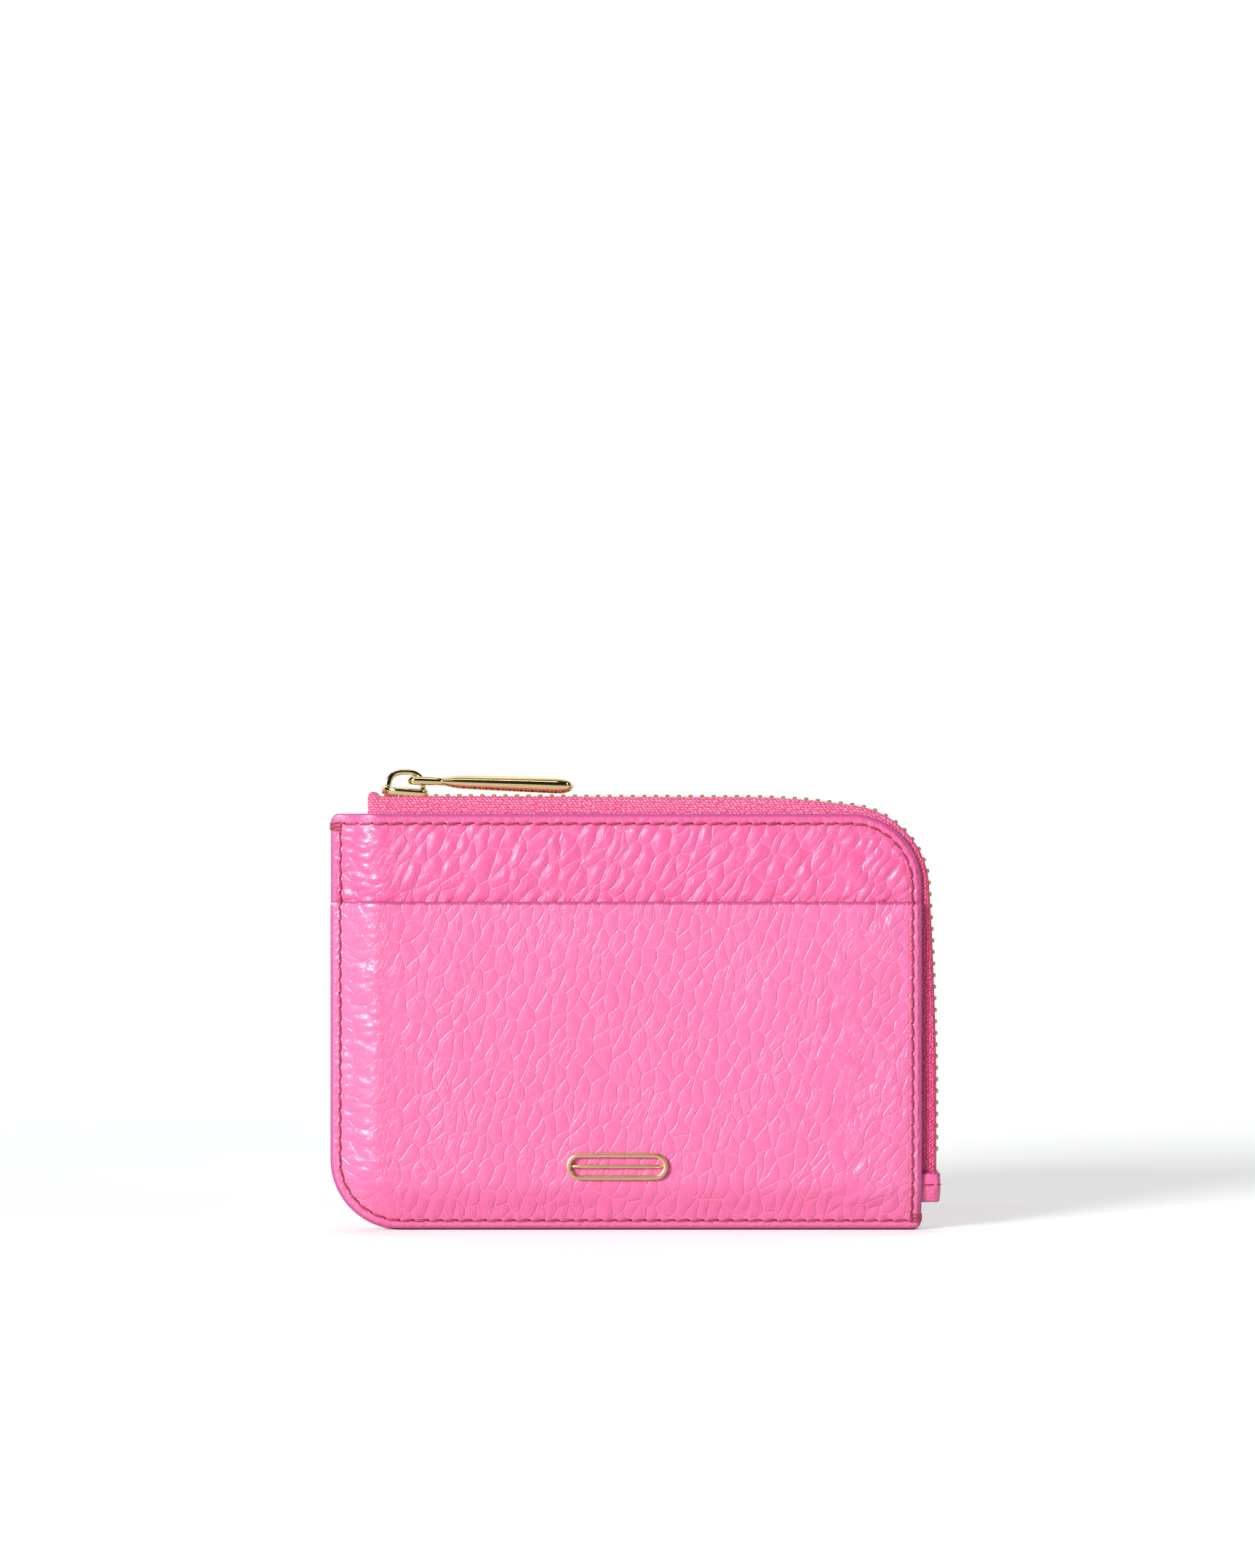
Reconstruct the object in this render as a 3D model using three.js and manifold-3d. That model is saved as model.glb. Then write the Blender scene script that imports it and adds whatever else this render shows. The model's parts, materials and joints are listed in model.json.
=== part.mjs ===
// Zip-around leather card and coin wallet: a flat pouch sewn along its left side and bottom,
// closed by one metal zip that runs along the top, round the corner and down the right side.
// Millimetres. +X right, +Y to the back, +Z up. The front faces -Y.
//
// All pieces are laid out from the lower left corner of the leather and the middle plane of
// the seam. The last lines move the whole wallet so that its bottom centre is the origin.
import * as THREE from "three";
import { mergeVertices } from "three/addons/utils/BufferGeometryUtils.js";
import Module from "manifold-3d";

const wasm = await Module();
wasm.setup();

// ---- Driving dimensions -------------------------------------------------------------------

const LEATHER_LENGTH = 125;
const LEATHER_HEIGHT = 88.1;
const BIG_CORNER = 15; // upper right and lower left corners of the leather
const SMALL_CORNER = 1.8; // upper left and lower right corners
const POCKET_HEIGHT = 69.1; // mouth of the slip pocket above the bottom

// Half thickness of the pouch at the inner face of the leather, without the leather itself.
const HALF_AT_SEAM = 0.55; // left side and bottom, where front and back are sewn together
const HALF_AT_ZIP = 4.4; // top and right side, where the zip holds them apart
const HALF_AT_MIDDLE = 4.7;
const SEAM_RISE = 10.5; // distance over which the leather rises from the seam
const ZIP_RISE = 8;

// Layers, as distances outward from that inner face.
const LINING = [-0.5, -0.1];
const TAPE = [-0.7, -0.1];
const PANEL = [0.05, 0.95];
const POCKET = [1.1, 2.0];
const THREAD_GAP = 0.16;
const THREAD_HEIGHT = 0.3;
const THREAD_WIDTH = 0.45;
const THREAD_CLEARANCE = 0.2; // bar tacks stand this far off the leather that they wrap
const STITCH_INSET = 2.1;
const STITCH_DROP = 0.9; // height over which the thread comes down off the pocket
const TACK_WIDTH = 0.8;
const TOP_TACK_Z = 85.4;
const BOTTOM_TACK_Z = 2.6;

// Zip: the middle plane of its chain stands outside the edge of the leather.
const CHAIN_OFFSET = 3.2;
const CHAIN_HALF_WIDTH = 2.6;
const TOOTH_HEIGHT = 1.8;
const TOOTH_LENGTH = 0.85; // along the chain
const TOOTH_PITCH = 2.45; // between teeth of one row
const TOOTH_REACH = 0.6; // past the middle, between the teeth of the other row
const TAPE_GAP = 0.1; // between the tape's folded edge and the teeth
const SPINE_WIDTH = 0.5; // the solid strip that joins a row's teeth
const TOOTH_STEP = 0.12; // the teeth are this much thinner than the strip
const TAPE_THICKNESS = 0.6;
const TAPE_IN_SEAM = 7;
const TAPE_FOLD = 0.8; // size of the bevel where the tape folds over
const TAPE_START = 8;
const TAPE_END = 7.6; // height of the tape's lower end on the right side
const TEETH_START = 14.4;
const TEETH_END = 15;
const STOP_LEFT = 9.1;
const STOP_NOSE = 0.35; // distance of a top stop from the middle plane

// Leather tab folded over the zip's lower end.
const TAB_BOTTOM = 6;
const TAB_TOP = 12.3;
const TAB_LEFT = 0.3; // beyond the edge of the leather
const TAB_CLEARANCE = 0.25;
const TAB_THICKNESS = 0.75;
const TAB_ROUND = 1.1;
const TAB_STITCH_Z = 9.8;

// The front opens by bending along a line from the zip's start to its end.
const FOLD_START = new THREE.Vector2(22, 91);
const FOLD_END = new THREE.Vector2(129, 13.4);
const FOLD_GAP = 0.3;

// Slider, crown and puller, at the closed end of the zip.
const SLIDER_LEFT = 10.8;
const SLIDER_LENGTH = 9.8;
const SLIDER_GAP = 0.3; // between the slider and the top stops
const SLIDER_HALF_WIDTH = 3.45;
const PLATE = 1.1;
const PLATE_CLEARANCE = 0.2;
const TAPE_SLOT_CLEARANCE = 0.3;
const FLANGE = 0.7;
const SLIDER_NOSE_RADIUS = 2.6;
const SLIDER_TAIL_RADIUS = 1.2;
const WEDGE_INSET = 0.3;
const WEDGE_BLUNT = 0.5; // half width of the wedge at its left end
const WEDGE_HALF_WIDTH = 0.95;
const WEDGE_SHOULDER = 1.4;
const WEDGE_LENGTH = 3;
const CROWN_LENGTH = 8.6;
const CROWN_RISE = 3.95;
const CROWN_STRAP = 0.9;
const CROWN_HALF_WIDTH = 1.15;
const PIVOT_X = 17;
const PIVOT_Z = 95.15;
const PULLER_TILT = THREE.MathUtils.degToRad(1.9);
const LOOP_REACH = 6.35;
const LOOP_HALF_WIDTH = 2.9;
const LOOP_ARM = 1.25;
const LOOP_THICKNESS = 1.4;
const LOOP_ROOT = 8.6; // where the loop ends, inside the bar
const LOOP_RADIUS = 2.2;
const HOLE_RADIUS = 0.7;
const PIN_HALF = 0.65;
// Distance from the pivot, half height and half width along the puller's bar.
const BAR_STATIONS = [
  [6.6, 0.5, 1.9],
  [7.6, 1.1, 2.9],
  [9, 1.45, 3.2],
  [22, 1.65, 3.45],
  [31.6, 1.8, 3.6],
  [33.4, 1.45, 3.1],
  [34.4, 0.7, 2.0],
];

// Card slots, sewn inside the back.
const SLOT_THICKNESS = 0.55;
const SLOT_GAP = 0.1;
const SLOT_LEFT = 13;
const SLOT_RIGHT = 110;
const SLOT_BOTTOM = 12;
const SLOT_TOPS = [74, 66, 58];
const SLOT_RADII = [3, 3, 1.5, 1.5];

// Metal link low on the pocket.
const EMBLEM_X = 60.7;
const EMBLEM_Z = 13.9;
const EMBLEM_HALF_LENGTH = 10.75;
const EMBLEM_HALF_HEIGHT = 2.9;
const EMBLEM_STROKE = 1.05;
const EMBLEM_THICKNESS = 1.1;
const EMBLEM_BAR_HALF = 0.45;
const EMBLEM_BAR_THICKNESS = 0.88;

// Position of the origin in the layout above: the bottom centre of the finished wallet.
const ORIGIN_X = 64.45;
const ORIGIN_Y = -1.05;

const CHAIN_Z = LEATHER_HEIGHT + CHAIN_OFFSET;
const CORNER_X = LEATHER_LENGTH - BIG_CORNER;
const CORNER_Z = LEATHER_HEIGHT - BIG_CORNER;
const FRONT = -1;
const BACK = 1;
const REACH = 30; // half depth of the cutting prisms, well past the wallet

// ---- Materials ----------------------------------------------------------------------------

function finish(colour, roughness, metalness = 0) {
  return () => new THREE.MeshStandardMaterial({ color: colour, roughness, metalness });
}

const leather = finish(0xff7cb4, 0.5);
const lining = finish(0xd9608f, 0.85);
const fabricTape = finish(0xf0568f, 0.9);
const thread = finish(0xa5365c, 0.7);
const gold = finish(0xe2c98a, 0.2, 1);

// ---- Solids -------------------------------------------------------------------------------

function toSolid(geometry) {
  const bare = geometry.index ? geometry.clone() : geometry;
  bare.deleteAttribute("normal");
  bare.deleteAttribute("uv");
  const merged = mergeVertices(bare, 1e-5);
  const vertProperties = new Float32Array(merged.attributes.position.array);
  const triVerts = new Uint32Array(merged.index.array);
  return new wasm.Manifold(new wasm.Mesh({ numProp: 3, vertProperties, triVerts }));
}

function toGeometry(solid) {
  const mesh = solid.getMesh();
  const geometry = new THREE.BufferGeometry();
  geometry.setAttribute("position", new THREE.BufferAttribute(mesh.vertProperties, 3));
  geometry.setIndex(new THREE.BufferAttribute(mesh.triVerts, 1));
  return geometry;
}

function box(x0, x1, y0, y1, z0, z1) {
  const shape = new THREE.BoxGeometry(x1 - x0, y1 - y0, z1 - z0);
  shape.translate((x0 + x1) / 2, (y0 + y1) / 2, (z0 + z1) / 2);
  return toSolid(shape);
}

function join(solids) {
  return solids.reduce((whole, solid) => whole.add(solid));
}

// A solid with the given outline in X and Z, from y0 to y1.
function plateXZ(shape, y0, y1, curveSegments = 8) {
  const options = { depth: y1 - y0, bevelEnabled: false, curveSegments };
  const geometry = new THREE.ExtrudeGeometry(shape, options);
  geometry.rotateX(Math.PI / 2);
  geometry.translate(0, y1, 0);
  return toSolid(geometry);
}

// A solid with the given outline in X and Y, from z0 to z1.
function plateXY(shape, z0, z1, curveSegments = 8) {
  const options = { depth: z1 - z0, bevelEnabled: false, curveSegments };
  const geometry = new THREE.ExtrudeGeometry(shape, options);
  geometry.translate(0, 0, z0);
  return toSolid(geometry);
}

// Rounded rectangle with radii in the order lower left, lower right, upper right, upper left.
function roundedRectangle(x0, x1, z0, z1, radii) {
  const [lowerLeft, lowerRight, upperRight, upperLeft] = radii;
  const quarter = Math.PI / 2;
  const shape = new THREE.Shape();
  shape.absarc(x0 + lowerLeft, z0 + lowerLeft, lowerLeft, 2 * quarter, 3 * quarter);
  shape.absarc(x1 - lowerRight, z0 + lowerRight, lowerRight, 3 * quarter, 4 * quarter);
  shape.absarc(x1 - upperRight, z1 - upperRight, upperRight, 0, quarter);
  shape.absarc(x0 + upperLeft, z1 - upperLeft, upperLeft, quarter, 2 * quarter);
  shape.closePath();
  return shape;
}

// Skin through closed rings of equal length, with flat ends unless the path itself is closed.
function loft(rings, closedPath = false) {
  const size = rings[0].length;
  const positions = rings.flat().flatMap((point) => [point.x, point.y, point.z]);
  const index = [];
  const spans = closedPath ? rings.length : rings.length - 1;
  for (let ring = 0; ring < spans; ring += 1) {
    const next = (ring + 1) % rings.length;
    for (let corner = 0; corner < size; corner += 1) {
      const a = ring * size + corner;
      const b = ring * size + ((corner + 1) % size);
      const c = next * size + corner;
      const d = next * size + ((corner + 1) % size);
      index.push(a, b, d, a, d, c);
    }
  }
  if (!closedPath) {
    const last = (rings.length - 1) * size;
    for (const [a, b, c] of capTriangles(rings[0])) index.push(b, a, c);
    for (const [a, b, c] of capTriangles(rings.at(-1))) index.push(last + a, last + b, last + c);
  }
  return orientedSolid(positions, index);
}

// Triangles over one flat ring, wound the way the ring runs.
function capTriangles(ring) {
  const normal = new THREE.Vector3();
  ring.forEach((point, k) => {
    const next = ring[(k + 1) % ring.length];
    normal.add(new THREE.Vector3().crossVectors(point, next));
  });
  const turn = new THREE.Quaternion().setFromUnitVectors(
    normal.normalize(),
    new THREE.Vector3(0, 0, 1),
  );
  const flat = ring.map((point) => {
    const turned = point.clone().applyQuaternion(turn);
    return new THREE.Vector2(turned.x, turned.y);
  });
  return THREE.ShapeUtils.triangulateShape(flat, []);
}

// A closed skin as a solid, turned inside out first if its faces point inward.
function orientedSolid(positions, index) {
  const corner = (k) => new THREE.Vector3().fromArray(positions, 3 * index[k]);
  let volume = 0;
  for (let k = 0; k < index.length; k += 3) {
    volume += corner(k).dot(corner(k + 1).cross(corner(k + 2)));
  }
  const faces = volume < 0 ? index.toReversed() : index;
  const geometry = new THREE.BufferGeometry();
  geometry.setAttribute("position", new THREE.Float32BufferAttribute(positions, 3));
  geometry.setIndex(faces);
  return toSolid(geometry);
}

// ---- The pillow shape that all the flat layers share ----------------------------------------

function ease(t) {
  const clamped = THREE.MathUtils.clamp(t, 0, 1);
  return clamped * clamped * (3 - 2 * clamped);
}

function gridLines(length, zipSide) {
  const quarters = [0, 0.25, 0.5, 0.75, 1].map((part) => part * SEAM_RISE);
  return [...quarters, BIG_CORNER, zipSide, length - ZIP_RISE, length - ZIP_RISE / 2, length];
}

const GRID_X = gridLines(LEATHER_LENGTH, CORNER_X);
const GRID_Z = gridLines(LEATHER_HEIGHT, CORNER_Z);

function distanceFromSeam(x, z) {
  if (x >= BIG_CORNER || z >= BIG_CORNER) return Math.min(x, z);
  return Math.max(0, BIG_CORNER - Math.hypot(BIG_CORNER - x, BIG_CORNER - z));
}

function distanceFromZip(x, z) {
  const fromRight = LEATHER_LENGTH - x;
  const fromTop = LEATHER_HEIGHT - z;
  if (x <= CORNER_X || z <= CORNER_Z) return Math.min(fromRight, fromTop);
  return Math.max(0, BIG_CORNER - Math.hypot(x - CORNER_X, z - CORNER_Z));
}

function halfThicknessAtNode(x, z) {
  const swell = ease(distanceFromZip(x, z) / ZIP_RISE);
  const inside = THREE.MathUtils.lerp(HALF_AT_ZIP, HALF_AT_MIDDLE, swell);
  return THREE.MathUtils.lerp(HALF_AT_SEAM, inside, ease(distanceFromSeam(x, z) / SEAM_RISE));
}

function cellOf(lines, value) {
  const after = lines.findIndex((line) => line >= value);
  const cell = THREE.MathUtils.clamp(after - 1, 0, lines.length - 2);
  const part = (value - lines[cell]) / (lines[cell + 1] - lines[cell]);
  return [cell, THREE.MathUtils.clamp(part, 0, 1)];
}

// Half thickness at any point, on the same two triangles per cell as the sheets below.
function halfThickness(x, z) {
  const clampedX = THREE.MathUtils.clamp(x, 0, LEATHER_LENGTH);
  const clampedZ = THREE.MathUtils.clamp(z, 0, LEATHER_HEIGHT);
  const [i, u] = cellOf(GRID_X, clampedX);
  const [j, v] = cellOf(GRID_Z, clampedZ);
  const node = (di, dj) => halfThicknessAtNode(GRID_X[i + di], GRID_Z[j + dj]);
  const start = node(0, 0);
  const far = node(1, 1);
  const side = u > v ? node(1, 0) : node(0, 1);
  const major = Math.max(u, v);
  const minor = Math.min(u, v);
  return start + (side - start) * (major - minor) + (far - start) * minor;
}

// One layer of the pouch, as thick as from layer[0] to layer[1], before its outline is cut.
function sheet(side, layer, rowsUpTo = LEATHER_HEIGHT) {
  const rows = [...GRID_Z.filter((z) => z < rowsUpTo), rowsUpTo];
  const columns = GRID_X;
  const positions = [];
  for (const offset of layer) {
    for (const z of rows) {
      for (const x of columns) positions.push(x, side * (halfThickness(x, z) + offset), z);
    }
  }
  const width = columns.length;
  const depth = rows.length;
  const layerSize = width * depth;
  const index = [];
  for (let j = 0; j < depth - 1; j += 1) {
    for (let i = 0; i < width - 1; i += 1) {
      const a = j * width + i;
      const [b, c, d] = [a + 1, a + width, a + width + 1];
      index.push(a, b, d, a, d, c);
      index.push(layerSize + a, layerSize + d, layerSize + b);
      index.push(layerSize + a, layerSize + c, layerSize + d);
    }
  }
  for (const [a, b] of borderEdges(width, depth)) {
    index.push(b, a, layerSize + a, b, layerSize + a, layerSize + b);
  }
  return orientedSolid(positions, index);
}

// Edges round the rim of a grid, in the order the grid's first triangles run.
function borderEdges(width, depth) {
  const rim = [];
  for (let i = 0; i < width - 1; i += 1) rim.push(i);
  for (let j = 0; j < depth - 1; j += 1) rim.push(j * width + width - 1);
  for (let i = width - 1; i > 0; i -= 1) rim.push((depth - 1) * width + i);
  for (let j = depth - 1; j > 0; j -= 1) rim.push(j * width);
  return rim.map((a, k) => [a, rim[(k + 1) % rim.length]]);
}

// Outline of the leather as a cutting prism, moved inward from the zip.
function leatherPrism(fromZip = 0) {
  const right = LEATHER_LENGTH - fromZip;
  const top = LEATHER_HEIGHT - fromZip;
  const radii = [BIG_CORNER, SMALL_CORNER, BIG_CORNER - fromZip, SMALL_CORNER];
  return plateXZ(roundedRectangle(0, right, 0, top, radii), -REACH, REACH);
}

// The half of space on one side of the fold line: FRONT_FLAP above it, BODY below it.
const FRONT_FLAP = 1;
const BODY = -1;

function foldSide(side) {
  const along = FOLD_END.clone().sub(FOLD_START).normalize();
  const away = new THREE.Vector2(-along.y, along.x).multiplyScalar(side);
  const edge = (distance) => {
    const foot = FOLD_START.clone().addScaledVector(along, distance);
    return foot.addScaledVector(away, FOLD_GAP / 2);
  };
  const near = edge(-LEATHER_LENGTH);
  const far = edge(2 * LEATHER_LENGTH);
  const outward = away.clone().multiplyScalar(2 * LEATHER_LENGTH);
  const corners = [near, far, far.clone().add(outward), near.clone().add(outward)];
  const shape = new THREE.Shape(side > 0 ? corners : corners.reverse());
  return plateXZ(shape, -REACH, REACH);
}

// ---- Zip ----------------------------------------------------------------------------------

// Points along the edge of the leather that the zip follows, each with the direction outward.
function zipStations(startX, endZ) {
  const stations = [];
  const top = [startX, SEAM_RISE, CORNER_X].filter((x) => x >= startX);
  for (const x of top) stations.push({ x, z: LEATHER_HEIGHT, out: [0, 1] });
  const steps = 6;
  for (let k = 1; k <= steps; k += 1) {
    const angle = (Math.PI / 2) * (1 - k / steps);
    const out = [Math.cos(angle), Math.sin(angle)];
    stations.push({ x: CORNER_X + BIG_CORNER * out[0], z: CORNER_Z + BIG_CORNER * out[1], out });
  }
  const right = [SEAM_RISE, endZ].filter((z) => z <= SEAM_RISE || z === endZ);
  for (const z of right) stations.push({ x: LEATHER_LENGTH, z, out: [1, 0] });
  return stations;
}

// Fabric tape: sewn inside the leather's edge, then folded over to the teeth.
function zipTape(side) {
  const outer = CHAIN_OFFSET + TAPE_THICKNESS / 2;
  const inner = CHAIN_OFFSET - TAPE_THICKNESS / 2;
  const rings = zipStations(TAPE_START, TAPE_END).map((station) => {
    const at = (distance, depth) => {
      const x = station.x + distance * station.out[0];
      const z = station.z + distance * station.out[1];
      return new THREE.Vector3(x, side * depth, z);
    };
    const deepX = station.x - TAPE_IN_SEAM * station.out[0];
    const deepZ = station.z - TAPE_IN_SEAM * station.out[1];
    const deep = Math.min(halfThickness(deepX, deepZ), HALF_AT_MIDDLE);
    const edge = halfThickness(station.x, station.z);
    return [
      at(-TAPE_IN_SEAM, deep + TAPE[0]),
      at(0, edge + TAPE[0]),
      at(inner, edge + TAPE[0]),
      at(inner, CHAIN_HALF_WIDTH + TAPE_GAP),
      at(outer, CHAIN_HALF_WIDTH + TAPE_GAP),
      at(outer, edge + TAPE[1] - TAPE_FOLD),
      at(outer - TAPE_FOLD, edge + TAPE[1]),
      at(0, edge + TAPE[1]),
      at(-TAPE_IN_SEAM, deep + TAPE[1]),
    ];
  });
  return loft(rings);
}

const STRAIGHT_TOP = CORNER_X - TEETH_START;
const CHAIN_CORNER = BIG_CORNER + CHAIN_OFFSET;
const CORNER_RUN = (Math.PI / 2) * CHAIN_CORNER;
const CHAIN_LENGTH = STRAIGHT_TOP + CORNER_RUN + CORNER_Z - TEETH_END;

// Place and direction at a distance along the chain, measured from its first tooth.
function chainPoint(distance) {
  if (distance <= STRAIGHT_TOP) return { x: TEETH_START + distance, z: CHAIN_Z, angle: 0 };
  if (distance >= STRAIGHT_TOP + CORNER_RUN) {
    const down = distance - STRAIGHT_TOP - CORNER_RUN;
    return { x: CORNER_X + CHAIN_CORNER, z: CORNER_Z - down, angle: Math.PI / 2 };
  }
  const angle = (distance - STRAIGHT_TOP) / CHAIN_CORNER;
  const x = CORNER_X + CHAIN_CORNER * Math.sin(angle);
  return { x, z: CORNER_Z + CHAIN_CORNER * Math.cos(angle), angle };
}

// One row of teeth, joined along the tape's edge into a single comb.
function zipTeeth(side) {
  const half = TOOTH_HEIGHT / 2;
  const spineStart = CHAIN_HALF_WIDTH - SPINE_WIDTH;
  const distances = [0, STRAIGHT_TOP];
  const steps = 6;
  for (let k = 1; k <= steps; k += 1) distances.push(STRAIGHT_TOP + (CORNER_RUN * k) / steps);
  distances.push(CHAIN_LENGTH);
  const rings = distances.map((distance) => {
    const { x, z, angle } = chainPoint(distance);
    const at = (height, depth) => {
      const outX = height * Math.sin(angle);
      const outZ = height * Math.cos(angle);
      return new THREE.Vector3(x + outX, side * depth, z + outZ);
    };
    return [
      at(-half, spineStart),
      at(-half, CHAIN_HALF_WIDTH),
      at(half, CHAIN_HALF_WIDTH),
      at(half, spineStart),
    ];
  });
  const solids = [loft(rings)];
  const phase = side === FRONT ? 0.25 : 0.75;
  const count = Math.floor(CHAIN_LENGTH / TOOTH_PITCH);
  for (let k = 0; k < count; k += 1) solids.push(tooth(side, (k + phase) * TOOTH_PITCH));
  return wasm.Manifold.union(solids);
}

// A tooth reaches a little past the middle of the chain, between two of the other row.
function tooth(side, distance) {
  const { x, z, angle } = chainPoint(distance);
  const root = CHAIN_HALF_WIDTH - SPINE_WIDTH / 2;
  const width = root + TOOTH_REACH;
  const shape = new THREE.BoxGeometry(TOOTH_LENGTH, width, TOOTH_HEIGHT - TOOTH_STEP);
  shape.translate(0, side * (root - width / 2), 0);
  shape.rotateY(angle);
  shape.translate(x, 0, z);
  return toSolid(shape);
}

// Metal stop on the tape's edge just before the first tooth.
function topStop(side) {
  const right = SLIDER_LEFT - SLIDER_GAP;
  const half = TOOTH_HEIGHT / 2;
  const [low, high] = [CHAIN_Z - half, CHAIN_Z + half];
  const stop = box(STOP_LEFT, right, STOP_NOSE, CHAIN_HALF_WIDTH, low, high);
  return side === FRONT ? stop.mirror([0, 1, 0]) : stop;
}

const TAB_INSIDE = LEATHER_LENGTH + CHAIN_OFFSET + TAPE_THICKNESS / 2 + TAB_CLEARANCE;
const TAB_OUTSIDE = TAB_INSIDE + TAB_THICKNESS;

// Leather tab wrapped round the zip's lower end, open towards the pouch.
function zipEndTab() {
  const start = LEATHER_LENGTH + TAB_LEFT;
  const rings = [TAB_BOTTOM, GRID_Z[3], SEAM_RISE, TAB_TOP].map((z) => {
    const inner = halfThickness(LEATHER_LENGTH, z) + PANEL[0];
    const outer = inner + TAB_THICKNESS;
    const half = [
      [start, outer],
      [TAB_OUTSIDE - TAB_ROUND, outer],
      [TAB_OUTSIDE, outer - TAB_ROUND],
    ];
    const hollow = [
      [TAB_INSIDE, inner],
      [start, inner],
    ];
    const point = ([x, y]) => new THREE.Vector3(x, y, z);
    const mirrored = ([x, y]) => new THREE.Vector3(x, -y, z);
    return [
      ...half.map(mirrored),
      ...half.toReversed().map(point),
      ...hollow.toReversed().map(point),
      ...hollow.map(mirrored),
    ];
  });
  return loft(rings);
}

// Thread that follows the tab's outside, a little clear of it.
function tabStitching() {
  const clear = 0.1;
  const left = LEATHER_LENGTH + TAB_LEFT + THREAD_CLEARANCE;
  const right = TAB_OUTSIDE + clear;
  const front = halfThickness(LEATHER_LENGTH, TAB_STITCH_Z + 1) + PANEL[0] + TAB_THICKNESS + clear;
  const grow = THREAD_HEIGHT;
  const inner = [
    [left, front],
    [right - TAB_ROUND, front],
    [right, front - TAB_ROUND],
  ];
  const outer = [
    [left, front + grow],
    [right - TAB_ROUND + clear, front + grow],
    [right + grow, front - TAB_ROUND + clear],
  ];
  const mirror = ([x, y]) => [x, -y];
  const loop = [
    ...inner.map(mirror),
    ...inner.toReversed(),
    ...outer,
    ...outer.toReversed().map(mirror),
  ];
  const outline = new THREE.Shape(loop.map(([x, y]) => new THREE.Vector2(x, y)));
  const half = THREAD_WIDTH / 2;
  return plateXY(outline, TAB_STITCH_Z - half, TAB_STITCH_Z + half);
}

// ---- Slider, crown and puller ---------------------------------------------------------------

function sliderOutline(halfWidth) {
  const right = SLIDER_LEFT + SLIDER_LENGTH;
  const [nose, tail] = [SLIDER_NOSE_RADIUS, SLIDER_TAIL_RADIUS];
  return roundedRectangle(SLIDER_LEFT, right, -halfWidth, halfWidth, [nose, tail, tail, nose]);
}

// Two wings joined by a wedge that parts the teeth, with lips that hold the rows in.
function sliderBody() {
  const top = CHAIN_Z + TOOTH_HEIGHT / 2 + PLATE_CLEARANCE;
  const bottom = CHAIN_Z - TOOTH_HEIGHT / 2 - PLATE_CLEARANCE;
  const slot = TAPE_THICKNESS / 2 + TAPE_SLOT_CLEARANCE;
  const outline = sliderOutline(SLIDER_HALF_WIDTH);
  const upper = plateXY(outline, CHAIN_Z + slot, top + PLATE, 4);
  const lower = plateXY(outline, bottom - PLATE, CHAIN_Z - slot, 4);
  const channelHalf = SLIDER_HALF_WIDTH - FLANGE;
  const channelLeft = SLIDER_LEFT - 1;
  const channelRight = SLIDER_LEFT + SLIDER_LENGTH + 1;
  const channel = box(channelLeft, channelRight, -channelHalf, channelHalf, bottom, top);
  const wedgeShape = new THREE.Shape();
  const wedgeLeft = SLIDER_LEFT + WEDGE_INSET;
  const shoulder = wedgeLeft + WEDGE_SHOULDER;
  wedgeShape.moveTo(wedgeLeft, -WEDGE_BLUNT);
  wedgeShape.lineTo(shoulder, -WEDGE_HALF_WIDTH);
  wedgeShape.lineTo(wedgeLeft + WEDGE_LENGTH, 0);
  wedgeShape.lineTo(shoulder, WEDGE_HALF_WIDTH);
  wedgeShape.lineTo(wedgeLeft, WEDGE_BLUNT);
  wedgeShape.closePath();
  const wedge = plateXY(wedgeShape, bottom - PLATE / 2, top + PLATE / 2);
  return join([upper.add(lower).subtract(channel), wedge]);
}

const SLIDER_TOP = CHAIN_Z + TOOTH_HEIGHT / 2 + PLATE_CLEARANCE + PLATE;

// Strap bent into an arch, with its feet on the slider.
function sliderCrown() {
  const middle = SLIDER_LEFT + SLIDER_LENGTH / 2 + 0.1;
  const base = SLIDER_TOP + 0.05;
  const half = CROWN_LENGTH / 2;
  const shape = new THREE.Shape();
  shape.absellipse(middle, base, half, CROWN_RISE, 0, Math.PI);
  shape.lineTo(middle - half + CROWN_STRAP, base);
  shape.absellipse(
    middle, base, half - CROWN_STRAP, CROWN_RISE - CROWN_STRAP, Math.PI, 0, true,
  );
  shape.closePath();
  return plateXZ(shape, -CROWN_HALF_WIDTH, CROWN_HALF_WIDTH, 12);
}

// Loop end round the crown and a swelling rounded bar, laid out from the pivot along +X.
function puller() {
  const outerRadii = [LOOP_RADIUS, 1, 1, LOOP_RADIUS];
  const ringShape = roundedRectangle(
    -PIN_HALF, LOOP_ROOT, -LOOP_HALF_WIDTH, LOOP_HALF_WIDTH, outerRadii,
  );
  const holeHalf = LOOP_HALF_WIDTH - LOOP_ARM;
  const holeRadii = Array(4).fill(HOLE_RADIUS);
  const hole = roundedRectangle(PIN_HALF, LOOP_REACH, -holeHalf, holeHalf, holeRadii);
  ringShape.holes.push(new THREE.Path(hole.getPoints(4)));
  const ring = plateXY(ringShape, -LOOP_THICKNESS / 2, LOOP_THICKNESS / 2, 4);
  const sides = 12;
  const rings = BAR_STATIONS.map(([x, halfHeight, halfWidth]) => {
    const points = [];
    for (let k = 0; k < sides; k += 1) {
      const angle = (2 * Math.PI * (k + 0.5)) / sides;
      points.push(new THREE.Vector3(x, halfWidth * Math.cos(angle), halfHeight * Math.sin(angle)));
    }
    return points;
  });
  return ring.add(loft(rings));
}

// ---- Stitching ------------------------------------------------------------------------------

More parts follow.
